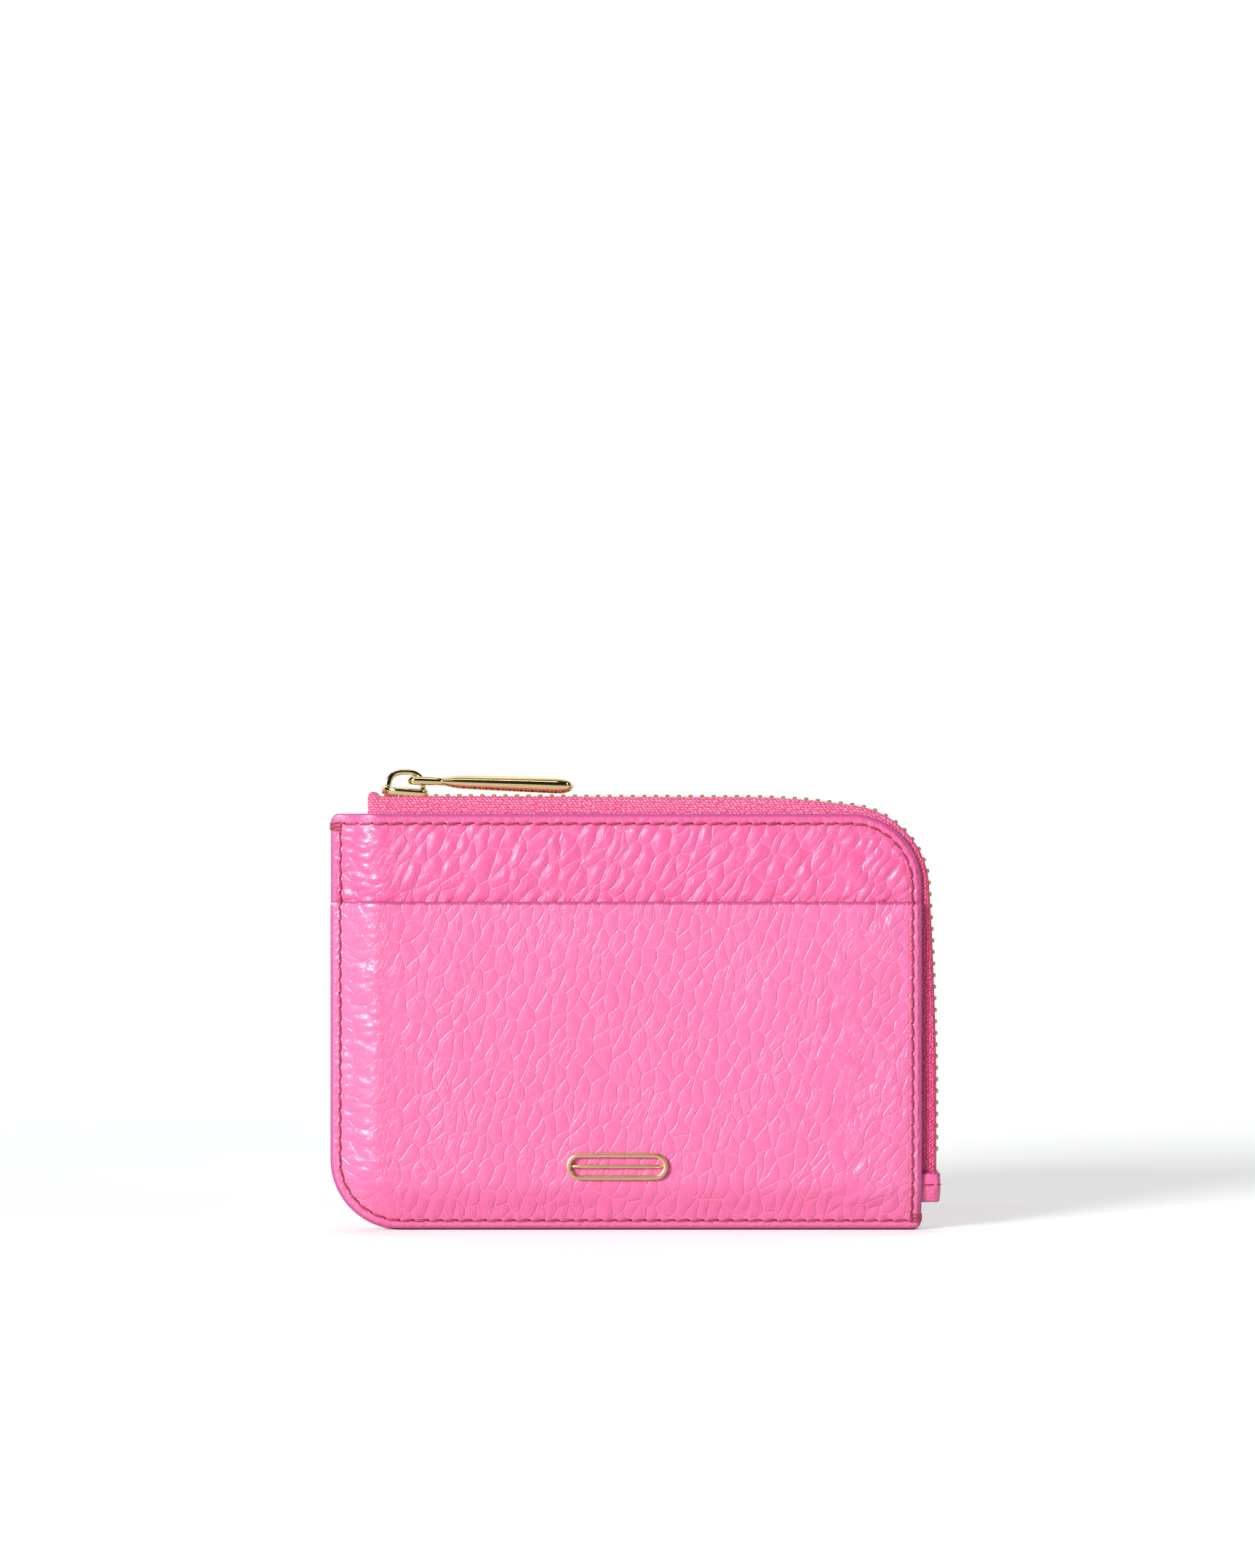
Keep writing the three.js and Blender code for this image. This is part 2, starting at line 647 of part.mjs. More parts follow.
// Points along a line inside the leather's edge, with the direction outward at each.
function stitchPath(mouthSteps) {
  const inset = STITCH_INSET;
  const left = inset;
  const right = LEATHER_LENGTH - inset;
  const top = LEATHER_HEIGHT - inset;
  const rise = GRID_X.slice(1, 5);
  const path = [];
  const add = (x, z, outX, outZ) => path.push({ x, z, out: [outX, outZ] });
  const arc = (centreX, centreZ, radius, from) => {
    const steps = 8;
    for (let k = 0; k <= steps; k += 1) {
      const angle = from + ((Math.PI / 2) * k) / steps;
      const outX = Math.cos(angle);
      const outZ = Math.sin(angle);
      add(centreX + radius * outX, centreZ + radius * outZ, outX, outZ);
    }
  };
  add(left, top, -1, 1);
  for (const z of mouthSteps.toReversed()) add(left, z, -1, 0);
  arc(BIG_CORNER, BIG_CORNER, BIG_CORNER - inset, Math.PI);
  add(right, inset, 1, -1);
  for (const z of rise.slice(1)) add(right, z, 1, 0);
  for (const z of mouthSteps) add(right, z, 1, 0);
  arc(CORNER_X, CORNER_Z, BIG_CORNER - inset, 0);
  for (const x of rise.slice(1).toReversed()) add(x, top, 0, 1);
  return path;
}

// The seam's thread, as one flat strand that follows the leather.
function stitching(side, liftAt, mouthSteps) {
  const path = stitchPath(mouthSteps);
  const rings = path.map((station) => {
    const at = (across, height) => {
      const x = station.x + across * station.out[0];
      const z = station.z + across * station.out[1];
      const surface = halfThickness(x, z) + liftAt(station.z) + THREAD_GAP;
      return new THREE.Vector3(x, side * (surface + height), z);
    };
    const half = THREAD_WIDTH / 2;
    return [at(-half, 0), at(half, 0), at(half, THREAD_HEIGHT), at(-half, THREAD_HEIGHT)];
  });
  return loft(rings, true);
}

function frontStitching() {
  const dropStart = POCKET_HEIGHT + THREAD_WIDTH / 2;
  const dropEnd = dropStart + STITCH_DROP;
  return stitching(FRONT, (z) => (z < dropEnd ? POCKET[1] : PANEL[1]), [dropStart, dropEnd]);
}

// Short bar of thread that wraps over the edge of the seam.
function barTack(edgeX, inward, z, frontLift) {
  const reach = STITCH_INSET - THREAD_WIDTH / 2 - THREAD_HEIGHT;
  const surface = (distance) => halfThickness(edgeX + inward * distance, z);
  const clear = THREAD_CLEARANCE;
  const leg = (side, lift, distance, extra) => {
    const x = edgeX + inward * distance;
    return new THREE.Vector2(x, side * (surface(distance) + lift + clear + extra));
  };
  const rim = edgeX - inward * clear;
  const rimOut = rim - inward * THREAD_HEIGHT;
  const atRim = (x, side, lift, extra) =>
    new THREE.Vector2(x, side * (surface(0) + lift + clear + extra));
  const loop = [
    leg(FRONT, frontLift, reach, 0),
    atRim(rim, FRONT, frontLift, 0),
    atRim(rim, BACK, PANEL[1], 0),
    leg(BACK, PANEL[1], reach, 0),
    leg(BACK, PANEL[1], reach, THREAD_HEIGHT),
    atRim(rimOut, BACK, PANEL[1], THREAD_HEIGHT),
    atRim(rimOut, FRONT, frontLift, THREAD_HEIGHT),
    leg(FRONT, frontLift, reach, THREAD_HEIGHT),
  ];
  return plateXY(new THREE.Shape(loop), z - TACK_WIDTH / 2, z + TACK_WIDTH / 2);
}

// ---- Interior and ornament ------------------------------------------------------------------

function cardSlot(number) {
  const back = HALF_AT_MIDDLE + LINING[0] - SLOT_GAP - number * (SLOT_THICKNESS + SLOT_GAP);
  const top = SLOT_TOPS[number];
  const outline = roundedRectangle(SLOT_LEFT, SLOT_RIGHT, SLOT_BOTTOM, top, SLOT_RADII);
  return plateXZ(outline, back - SLOT_THICKNESS, back, 3);
}

// Plain round-ended metal link with a slim bar across its middle.
function emblem() {
  const back = -(HALF_AT_MIDDLE + POCKET[1] + 0.05);
  const outline = (inset) => {
    const halfLength = EMBLEM_HALF_LENGTH - inset;
    const halfHeight = EMBLEM_HALF_HEIGHT - inset;
    const [left, right] = [EMBLEM_X - halfLength, EMBLEM_X + halfLength];
    const [bottom, top] = [EMBLEM_Z - halfHeight, EMBLEM_Z + halfHeight];
    return roundedRectangle(left, right, bottom, top, Array(4).fill(halfHeight - 0.01));
  };
  const link = plateXZ(outline(0), back - EMBLEM_THICKNESS, back, 6);
  const window = plateXZ(outline(EMBLEM_STROKE), -REACH, 0, 6);
  const barEnd = EMBLEM_HALF_LENGTH - EMBLEM_STROKE / 2;
  const bar = box(
    EMBLEM_X - barEnd, EMBLEM_X + barEnd,
    back - EMBLEM_BAR_THICKNESS, back,
    EMBLEM_Z - EMBLEM_BAR_HALF, EMBLEM_Z + EMBLEM_BAR_HALF,
  );
  return link.subtract(window).add(bar);
}

// ---- The wallet -----------------------------------------------------------------------------

const wallet = new THREE.Group();

function addPiece(name, solid, material, parent = wallet) {
  const mesh = new THREE.Mesh(toGeometry(solid), material());
  mesh.name = name;
  parent.add(mesh);
  return mesh;
}

const body = foldSide(BODY);
const flap = foldSide(FRONT_FLAP);

// Back.
const fullOutline = leatherPrism();
const liningOutline = leatherPrism(TAPE_IN_SEAM + 0.3);
addPiece("back_panel", sheet(BACK, PANEL).intersect(fullOutline), leather);
addPiece("back_lining", sheet(BACK, LINING).intersect(liningOutline), lining);
SLOT_TOPS.forEach((top, number) => {
  addPiece(`card_slot_${number + 1}`, cardSlot(number), leather);
});

// Front, in two halves either side of the line along which it bends open.
const frontPanel = sheet(FRONT, PANEL).intersect(fullOutline);
const frontLining = sheet(FRONT, LINING).intersect(liningOutline);
const slipPocket = sheet(FRONT, POCKET, POCKET_HEIGHT).intersect(fullOutline);
const frontThread = frontStitching();
addPiece("front_panel", frontPanel.intersect(body), leather);
addPiece("front_lining", frontLining.intersect(body), lining);
addPiece("slip_pocket", slipPocket.intersect(body), leather);
addPiece("front_stitching", frontThread.intersect(body), thread);
addPiece("front_panel_flap", frontPanel.intersect(flap), leather);
addPiece("front_lining_flap", frontLining.intersect(flap), lining);
addPiece("slip_pocket_flap", slipPocket.intersect(flap), leather);
addPiece("front_stitching_flap", frontThread.intersect(flap), thread);
addPiece("back_stitching", stitching(BACK, () => PANEL[1], []), thread);
addPiece("bar_tack_top", barTack(0, 1, TOP_TACK_Z, PANEL[1]), thread);
const lowerTack = barTack(LEATHER_LENGTH, -1, BOTTOM_TACK_Z, POCKET[1]);
addPiece("bar_tack_bottom", lowerTack, thread);
addPiece("emblem_link", emblem(), gold);

// Zip. The front row is cut where the front bends; its short ends stay on the body.
const frontTape = zipTape(FRONT);
const [startTape, endTape] = frontTape.intersect(body).decompose();
addPiece("zipper_tape_back", zipTape(BACK), fabricTape);
addPiece("zipper_tape_front", frontTape.intersect(flap), fabricTape);
const leftOf = (solid) => solid.boundingBox().min[0];
const tapeEnds = [startTape, endTape].sort((a, b) => leftOf(a) - leftOf(b));
addPiece("zipper_tape_front_start", tapeEnds[0], fabricTape);
addPiece("zipper_tape_front_end", tapeEnds[1], fabricTape);
const frontTeeth = zipTeeth(FRONT);
addPiece("zipper_teeth_back", zipTeeth(BACK), gold);
addPiece("zipper_teeth_front", frontTeeth.intersect(flap), gold);
addPiece("zipper_teeth_front_start", frontTeeth.intersect(body), gold);
addPiece("top_stop_front", topStop(FRONT), gold);
addPiece("top_stop_back", topStop(BACK), gold);
addPiece("zip_end_tab", zipEndTab(), leather);
addPiece("tab_stitching", tabStitching(), thread);

// Slider and puller.
addPiece("slider_body", sliderBody(), gold);
addPiece("slider_crown", sliderCrown(), gold);
const pivot = new THREE.Group();
pivot.position.set(PIVOT_X, 0, PIVOT_Z);
pivot.rotation.y = PULLER_TILT;
wallet.add(pivot);
addPiece("puller", puller(), gold, pivot);

wallet.position.set(-ORIGIN_X, -ORIGIN_Y, 0);
export default wallet;
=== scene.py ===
"""Looks of a zip-around leather wallet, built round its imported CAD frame. Runs in Blender 4.5.

Shapes are worked out in millimetres in the wallet's own layout: X from the left edge of the
leather, Y from the middle plane of the seam, Z up from the bottom edge, and the front at -Y.
make_object() turns that into metres in the shared frame.
"""

import json
import math

import bpy
import numpy as np
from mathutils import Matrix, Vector


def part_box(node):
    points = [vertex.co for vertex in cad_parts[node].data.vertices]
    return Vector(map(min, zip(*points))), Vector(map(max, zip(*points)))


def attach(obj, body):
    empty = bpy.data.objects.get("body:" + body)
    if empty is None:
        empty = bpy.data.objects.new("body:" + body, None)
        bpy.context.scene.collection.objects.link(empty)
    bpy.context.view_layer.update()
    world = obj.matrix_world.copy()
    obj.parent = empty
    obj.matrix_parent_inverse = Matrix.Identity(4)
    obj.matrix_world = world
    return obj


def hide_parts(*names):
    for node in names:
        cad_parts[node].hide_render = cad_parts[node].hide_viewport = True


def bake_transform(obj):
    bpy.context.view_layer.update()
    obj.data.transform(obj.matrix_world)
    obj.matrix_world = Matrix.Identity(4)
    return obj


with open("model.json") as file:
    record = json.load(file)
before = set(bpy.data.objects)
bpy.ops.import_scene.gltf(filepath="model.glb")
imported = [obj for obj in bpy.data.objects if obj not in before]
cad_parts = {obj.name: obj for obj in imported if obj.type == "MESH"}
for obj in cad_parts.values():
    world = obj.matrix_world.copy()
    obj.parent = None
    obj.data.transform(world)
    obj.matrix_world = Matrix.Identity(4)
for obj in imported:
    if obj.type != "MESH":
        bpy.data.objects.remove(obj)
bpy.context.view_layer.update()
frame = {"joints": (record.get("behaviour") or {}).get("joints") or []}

# ---- Driving dimensions, in millimetres --------------------------------------------------------

MM = 0.001
panel_low, panel_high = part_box("back_panel")
pocket_low, pocket_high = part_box("slip_pocket")
LENGTH = (panel_high.x - panel_low.x) / MM
HEIGHT = (panel_high.z - panel_low.z) / MM
LIP_RISE = 0.5
MOUTH = pocket_high.z / MM + LIP_RISE
BIG_CORNER = 15.0
SMALL_CORNER = 1.8
# Radii run lower left, lower right, upper right, upper left.
OUTLINE_RADII = (BIG_CORNER, SMALL_CORNER, BIG_CORNER, SMALL_CORNER)
CORNER_X, CORNER_Z = LENGTH - BIG_CORNER, HEIGHT - BIG_CORNER

# Half the pouch's thickness inside the leather, and how far from the rim it takes to swell.
HALF_AT_SEAM, HALF_AT_ZIP, HALF_AT_MIDDLE = 0.55, 4.4, 4.7
SEAM_RISE, ZIP_RISE = 10.5, 8.0
# Each layer's inner and outer face, measured out from there.
LINING, PANEL, POCKET, TAPE = (-0.5, -0.1), (0.05, 0.95), (1.1, 2.0), (-0.7, -0.1)
ORIGIN = (panel_low.x / MM, panel_low.y / MM - HALF_AT_SEAM - PANEL[0], 0.0)

STITCH_INSET, STITCH_PITCH, STITCH_SLANT = 2.1, 3.06, 0.34
# The tape's ends: X along the top, and Z on the right side.
TAPE_START, TAPE_END = 8.0, 7.6
# The round corner, by distance along the tape.
CORNER_START = CORNER_X - TAPE_START
CORNER_END = CORNER_START + math.pi / 2 * BIG_CORNER
CHAIN_Z = HEIGHT + 3.2
TOOTH_PITCH = 2.45
TAB_LEATHER, TAB_TURN, TAB_SEAM_Z = 0.75, 1.5, 9.8

FRONT, BACK = -1, 1
BODY = {FRONT: "front_flap", BACK: "wallet_body"}


def ease(t):
    t = np.clip(t, 0, 1)
    return t * t * (3 - 2 * t)


def mix(a, b, t):
    return a + (b - a) * t


def dent(distance, width):
    """1 at a distance of 0, falling off on both sides."""
    return np.exp(-((distance / width) ** 2))


# ---- The pillow shape that all the flat layers share -------------------------------------------


def distance_from_seam(x, z):
    corner = BIG_CORNER - np.hypot(BIG_CORNER - x, BIG_CORNER - z)
    return np.where((x < BIG_CORNER) & (z < BIG_CORNER), corner, np.minimum(x, z))


def distance_from_zip(x, z):
    corner = BIG_CORNER - np.hypot(x - CORNER_X, z - CORNER_Z)
    straight = np.minimum(LENGTH - x, HEIGHT - z)
    return np.where((x > CORNER_X) & (z > CORNER_Z), corner, straight)


def edge_distance(x, z):
    return np.maximum(np.minimum(distance_from_seam(x, z), distance_from_zip(x, z)), 0)


def half_thickness(x, z):
    """Half the pouch's thickness at the inner face of the leather."""
    inside = mix(HALF_AT_ZIP, HALF_AT_MIDDLE, ease(distance_from_zip(x, z) / ZIP_RISE))
    return mix(HALF_AT_SEAM, inside, ease(distance_from_seam(x, z) / SEAM_RISE))


# ---- Noise --------------------------------------------------------------------------------------


def lattice(i, j, seed):
    """A repeatable random number from 0 to 1 for each whole-numbered point."""
    mixed = (i * 374761393 + j * 668265263 + seed * 2147483647) & 0xFFFFFFFF
    mixed = ((mixed ^ (mixed >> 13)) * 1274126177) & 0xFFFFFFFF
    return ((mixed ^ (mixed >> 16)) & 0xFFFF) / 65535.0


def noise(x, z, seed):
    """Smooth noise from -1 to 1, one feature to a unit."""
    i, j = np.floor(x).astype(np.int64), np.floor(z).astype(np.int64)
    u, v = ease(x - i), ease(z - j)
    low = mix(lattice(i, j, seed), lattice(i + 1, j, seed), u)
    high = mix(lattice(i, j + 1, seed), lattice(i + 1, j + 1, seed), u)
    return 2 * mix(low, high, v) - 1


# ---- Paths --------------------------------------------------------------------------------------


def unit(vectors):
    return vectors / np.linalg.norm(vectors, axis=-1, keepdims=True)


def headings(path):
    """Directions along an open path."""
    return unit(np.gradient(path, axis=0))


def lengths_along(path):
    return np.concatenate([[0], np.cumsum(np.linalg.norm(np.diff(path, axis=0), axis=1))])


def at_distance(distance, lengths, path):
    """A path's points, or its directions, at distances along it."""
    return np.stack([np.interp(distance, lengths, column) for column in path.T], -1)


def upright(flat, y=0.0):
    """(x, z) pairs as points or directions in space."""
    flat = np.asarray(flat, float)
    return np.stack([flat[..., 0], y + 0 * flat[..., 0], flat[..., 1]], -1)


def right_of(flat):
    """(x, y) directions turned to the right."""
    return np.stack([flat[..., 1], -flat[..., 0]], -1)


# ---- Meshes -------------------------------------------------------------------------------------


def box(node):
    """A CAD node's lowest and highest corners, in layout millimetres."""
    return [np.array(corner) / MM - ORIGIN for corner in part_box(node)]


def make_object(name, points, faces, materials, slots=None):
    """An object from points in layout millimetres. slots gives each face's material."""
    mesh = bpy.data.meshes.new(name)
    placed = (np.asarray(points, float).reshape(-1, 3) + ORIGIN) * MM
    mesh.from_pydata(placed.tolist(), [], faces)
    for material in materials:
        mesh.materials.append(material)
    if slots is not None:
        mesh.polygons.foreach_set("material_index", np.asarray(slots, np.int32))
    mesh.polygons.foreach_set("use_smooth", np.ones(len(mesh.polygons), bool))
    mesh.update()
    made = bpy.data.objects.new(name, mesh)
    bpy.context.scene.collection.objects.link(made)
    return made


def store(made, name, values):
    """Keeps a number or a vector for each point, for the materials."""
    values = np.asarray(values, np.float32)
    kind, field = ("FLOAT", "value") if values.ndim == 1 else ("FLOAT_VECTOR", "vector")
    attribute = made.data.attributes.new(name, kind, "POINT")
    attribute.data.foreach_set(field, values.ravel())


def store_skin(made, across, up, edge):
    """Where on the hide each point lies, all at one distance from an edge."""
    store(made, "skin", np.stack([across, up, np.full(len(up), edge)], 1))


def grid_faces(columns, rows, start=0, flip=False):
    base = start + np.arange(rows - 1)[:, None] * columns + np.arange(columns - 1)
    base = base.ravel()
    quads = np.stack([base, base + 1, base + columns + 1, base + columns], 1)
    return (quads[:, ::-1] if flip else quads).tolist()


def rim_loop(columns, rows):
    """Indices round the rim of a grid."""
    bottom = np.arange(columns)
    right = np.arange(1, rows) * columns + columns - 1
    top = (rows - 1) * columns + np.arange(columns - 2, -1, -1)
    left = np.arange(rows - 2, 0, -1) * columns
    return np.concatenate([bottom, right, top, left])


def loop_faces(first, second):
    """Quads between two closed loops of indices."""
    a, b = np.asarray(first), np.asarray(second)
    return np.stack([a, b, np.roll(b, -1), np.roll(a, -1)], 1).tolist()


RIM_STEPS = 5


def thick_patch(outer, inner, bulge, flip):
    """A closed sheet from two grids of points, with a rounded rim that stands out by bulge.

    Returns points, faces, face slots (1 on the rim) and how far each point is from the outer
    face, from 0 to 1.
    """
    rows, columns = outer.shape[:2]
    size = rows * columns
    outer, inner = outer.reshape(-1, 3), inner.reshape(-1, 3)
    rim = rim_loop(columns, rows)
    row, column = rim // columns, rim % columns
    inward = np.clip(row, 1, rows - 2) * columns + np.clip(column, 1, columns - 2)
    edge = outer[rim]
    out = np.cross(np.roll(edge, -1, axis=0) - np.roll(edge, 1, axis=0), inner[rim] - edge)
    out = unit(out * math.copysign(1, np.sum(out * (edge - outer[inward]))))
    points, depth, loops = [outer], [np.zeros(size)], [rim]
    for step in range(1, RIM_STEPS + 1):
        turn = math.pi * step / (RIM_STEPS + 1)
        through = (1 - math.cos(turn)) / 2
        points.append(mix(edge, inner[rim], through) + out * bulge * math.sin(turn))
        depth.append(np.full(len(rim), through))
        loops.append(size + (step - 1) * len(rim) + np.arange(len(rim)))
    inner_start = size + RIM_STEPS * len(rim)
    points.append(inner)
    depth.append(np.ones(size))
    loops.append(inner_start + rim)
    faces = grid_faces(columns, rows, 0, flip)
    faces += grid_faces(columns, rows, inner_start, not flip)
    flat = len(faces)
    for a, b in zip(loops, loops[1:]):
        faces += loop_faces(b, a) if flip else loop_faces(a, b)
    slots = [0] * flat + [1] * (len(faces) - flat)
    return np.concatenate(points), faces, slots, np.concatenate(depth)


def sweep(path, across, up, sections, closed=False):
    """Points and faces of a skin along a path. The directions and the outlines are given
    once, or for each step."""
    path = np.asarray(path, float)
    across, up = (np.broadcast_to(np.asarray(v, float), path.shape) for v in (across, up))
    sections = np.asarray(sections, float)
    if sections.ndim == 2:
        sections = np.broadcast_to(sections, (len(path), *sections.shape))
    points = path[:, None] + sections[..., :1] * across[:, None] + sections[..., 1:] * up[:, None]
    steps, size = sections.shape[:2]
    rings = np.arange(steps * size).reshape(steps, size)
    faces = []
    for k in range(steps if closed else steps - 1):
        faces += loop_faces(rings[k], rings[(k + 1) % steps])
    if not closed:
        faces += [rings[0].tolist(), rings[-1][::-1].tolist()]
    return points.reshape(-1, 3), faces


def together(parts):
    """Several (points, faces) pairs as one."""
    points, faces, start = [], [], 0
    for part_points, part_faces in parts:
        points.append(part_points)
        faces += [[k + start for k in face] for face in part_faces]
        start += len(part_points)
    return np.concatenate(points), faces


def for_side(side, points, faces):
    """A shape made for the back, or its mirror image for the front."""
    if side == FRONT:
        return points * [1, -1, 1], [face[::-1] for face in faces]
    return points, faces


def super_ellipse(half_width, half_height, sides=20, power=0.75):
    """An oval outline. A power below 1 makes it boxier."""
    angle = 2 * math.pi * (np.arange(sides) + 0.5) / sides
    c, s = np.cos(angle), np.sin(angle)
    x = half_width * np.sign(c) * np.abs(c) ** power
    z = half_height * np.sign(s) * np.abs(s) ** power
    return np.stack([x, z], 1)


def ellipse(half_width, half_height, sides=12):
    return super_ellipse(half_width, half_height, sides, 1)


def rounded_box(low, high, round_by):
    """A box with chamfered edges: 24 points and 26 faces."""
    low, high = np.asarray(low, float), np.asarray(high, float)
    points, index = [], {}
    for corner in np.ndindex(2, 2, 2):
        for axis in range(3):
            point = np.where(np.array(corner) == 0, low, high)
            for other in range(3):
                if other != axis:
                    point[other] += round_by if corner[other] == 0 else -round_by
            index[corner, axis] = len(points)
            points.append(point)
    faces = []
    around = ((0, 0), (1, 0), (1, 1), (0, 1))
    for axis in range(3):
        u, v = (axis + 1) % 3, (axis + 2) % 3

        def corner_at(level, cu, cv):
            corner = [0, 0, 0]
            corner[axis], corner[u], corner[v] = level, cu, cv
            return tuple(corner)

        for level in (0, 1):
            ring = [index[corner_at(level, cu, cv), axis] for cu, cv in around]
            faces.append(ring if level else ring[::-1])
        for cu, cv in around:
            near, far = corner_at(0, cu, cv), corner_at(1, cu, cv)
            quad = [index[near, u], index[far, u], index[far, v], index[near, v]]
            faces.append(quad if cu != cv else quad[::-1])
    for corner in np.ndindex(2, 2, 2):
        ring = [index[corner, axis] for axis in range(3)]
        faces.append(ring if sum(corner) % 2 else ring[::-1])
    return np.array(points), faces


def smooth_more(made, levels):
    modifier = made.modifiers.new("smooth", "SUBSURF")
    modifier.levels = modifier.render_levels = levels


# ---- Riding -------------------------------------------------------------------------------------


def joint(name):
    return next(each for each in frame["joints"] if each["name"] == name)


def settle(made, slot, body, *nodes):
    """Parents a piece to its body's empty, or bakes its place in if it is on the front flap, and
    hides the CAD nodes it stands for. slot is not used.
    """
    if body == BODY[FRONT]:
        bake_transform(made)
    else:
        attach(made, body)
    if nodes:
        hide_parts(*nodes)


# ---- Materials ----------------------------------------------------------------------------------


class Wire:
    """A node's output, which can be used in sums."""

    def __init__(self, nodes, socket):
        self.nodes, self.socket = nodes, socket

    def __add__(self, other):
        return self.nodes.math("ADD", self, other)

    def __sub__(self, other):
        return self.nodes.math("SUBTRACT", self, other)

    def __rsub__(self, other):
        return self.nodes.math("SUBTRACT", other, self)

    def __mul__(self, other):
        return self.nodes.math("MULTIPLY", self, other)

    def __truediv__(self, other):
        return self.nodes.math("DIVIDE", self, other)


class Nodes:
    """Short calls that add nodes to a shader or geometry tree."""

    def __init__(self, tree):
        self.tree = tree

    def add(self, kind, **settings):
        node = self.tree.nodes.new(kind)
        for key, value in settings.items():
            setattr(node, key, value)
        return node

    def plug(self, socket, value):
        if isinstance(value, Wire):
            self.tree.links.new(value.socket, socket)
        elif isinstance(value, tuple):
            socket.default_value = (*value, 1.0)
        else:
            socket.default_value = value

    def build(self, kind, values, output=0, **settings):
        """A node with its inputs filled, by number or by name, and one of its outputs."""
        node = self.add(kind, **settings)
        for key, value in values.items() if isinstance(values, dict) else enumerate(values):
            self.plug(node.inputs[key], value)
        return Wire(self, node.outputs[output])

    def math(self, operation, *values):
        return self.build("ShaderNodeMath", values, operation=operation)

    def span(self, value, from_low, from_high, to_low=0.0, to_high=1.0):
        values = (value, from_low, from_high, to_low, to_high)
        return self.build("ShaderNodeMapRange", values, interpolation_type="SMOOTHSTEP")

    def combine(self, x, y, z=0.0):
        return self.build("ShaderNodeCombineXYZ", (x, y, z))

    def separate(self, vector):
        node = self.add("ShaderNodeSeparateXYZ")
        self.plug(node.inputs[0], vector)
        return [Wire(self, socket) for socket in node.outputs]

    def noise(self, vector, scale, detail=2.0):
        values = {"Vector": vector, "Scale": scale, "Detail": detail, "Roughness": 0.5}
        return self.build("ShaderNodeTexNoise", values, noise_dimensions="3D")

    def cells(self, across, along, feature="DISTANCE_TO_EDGE", randomness=0.85):
        """Distance from the edges, or from the middles, of irregular cells one unit across."""
        values = {"Vector": self.combine(across, along), "Scale": 1.0, "Randomness": randomness}
        return self.build(
            "ShaderNodeTexVoronoi", values, "Distance", voronoi_dimensions="2D", feature=feature
        )

    def mix(self, factor, a, b):
        """Between two numbers."""
        return self.build("ShaderNodeMix", {0: factor, 2: a, 3: b}, data_type="FLOAT")

    def tint(self, factor, a, b, blend_type="MIX"):
        """Between two colours."""
        values = {0: factor, 6: a, 7: b}
        return self.build("ShaderNodeMix", values, 2, data_type="RGBA", blend_type=blend_type)

    def attribute(self, name, output="Vector"):
        return self.build("ShaderNodeAttribute", (), output, attribute_name=name)

    def place(self):
        return self.build("ShaderNodeTexCoord", (), "Object")

    def seen(self):
        """1 for what the camera sees itself, and 0 for what lights or is mirrored."""
        return self.build("ShaderNodeLightPath", (), "Is Camera Ray")


class Surface(Nodes):
    """A material's nodes, and the shader that they end in."""

    def __init__(self, name):
        self.material = bpy.data.materials.new(name)
        self.material.use_nodes = True
        super().__init__(self.material.node_tree)
        self.tree.nodes.clear()
        self.shader = self.add("ShaderNodeBsdfPrincipled")
        output = self.add("ShaderNodeOutputMaterial")
        self.tree.links.new(self.shader.outputs[0], output.inputs[0])

    def finish(self, colour, roughness, height=None, **others):
        """Fills the shader's sockets. height is the bump's, in millimetres."""
        others["Base Color"], others["Roughness"] = colour, roughness
        if height is not None:
            values = {"Strength": 1.0, "Distance": MM, "Height": height}
            others["Normal"] = self.build("ShaderNodeBump", values)
        for name, value in others.items():
            self.plug(self.shader.inputs[name.replace("_", " ")], value)
        return self.material


class Hide:
    """One piece of leather's pebbles: their width and height, their lean in degrees, how far
    they stand out, how deep the creases between them are, and the leather's two tones."""

    def __init__(self, cell, lean, dome, line, tones):
        self.cell, self.lean = cell, math.radians(lean)
        self.dome, self.line, self.tones = dome, line, tones


# The panel's tones are deeper than the pocket's: partly the leather's own, partly painted shade,
# for the panel lies back behind the pocket.
PANEL_HIDE = Hide((2.7, 5.8), 31, 0.3, 0.13, ((0.89, 0.115, 0.33), (0.93, 0.145, 0.38)))
POCKET_HIDE = Hide((2.6, 4.8), 16, 0.14, 0.12, ((0.9, 0.155, 0.375), (0.93, 0.185, 0.425)))
# The pocket is cut from another part of the hide: its pattern is this far up from the panels'.
POCKET_SHIFT = 60
# Width and height of the finest lines, of the folds by the sewn edge and of those by the zip.
HAIR_CELL, FOLD_CELL, ZIP_FOLD_CELL = (1.1, 3.4), (4.6, 1.9), (2.1, 5.0)
ZIP_FOLD_LEAN = (0.8, 0.6)


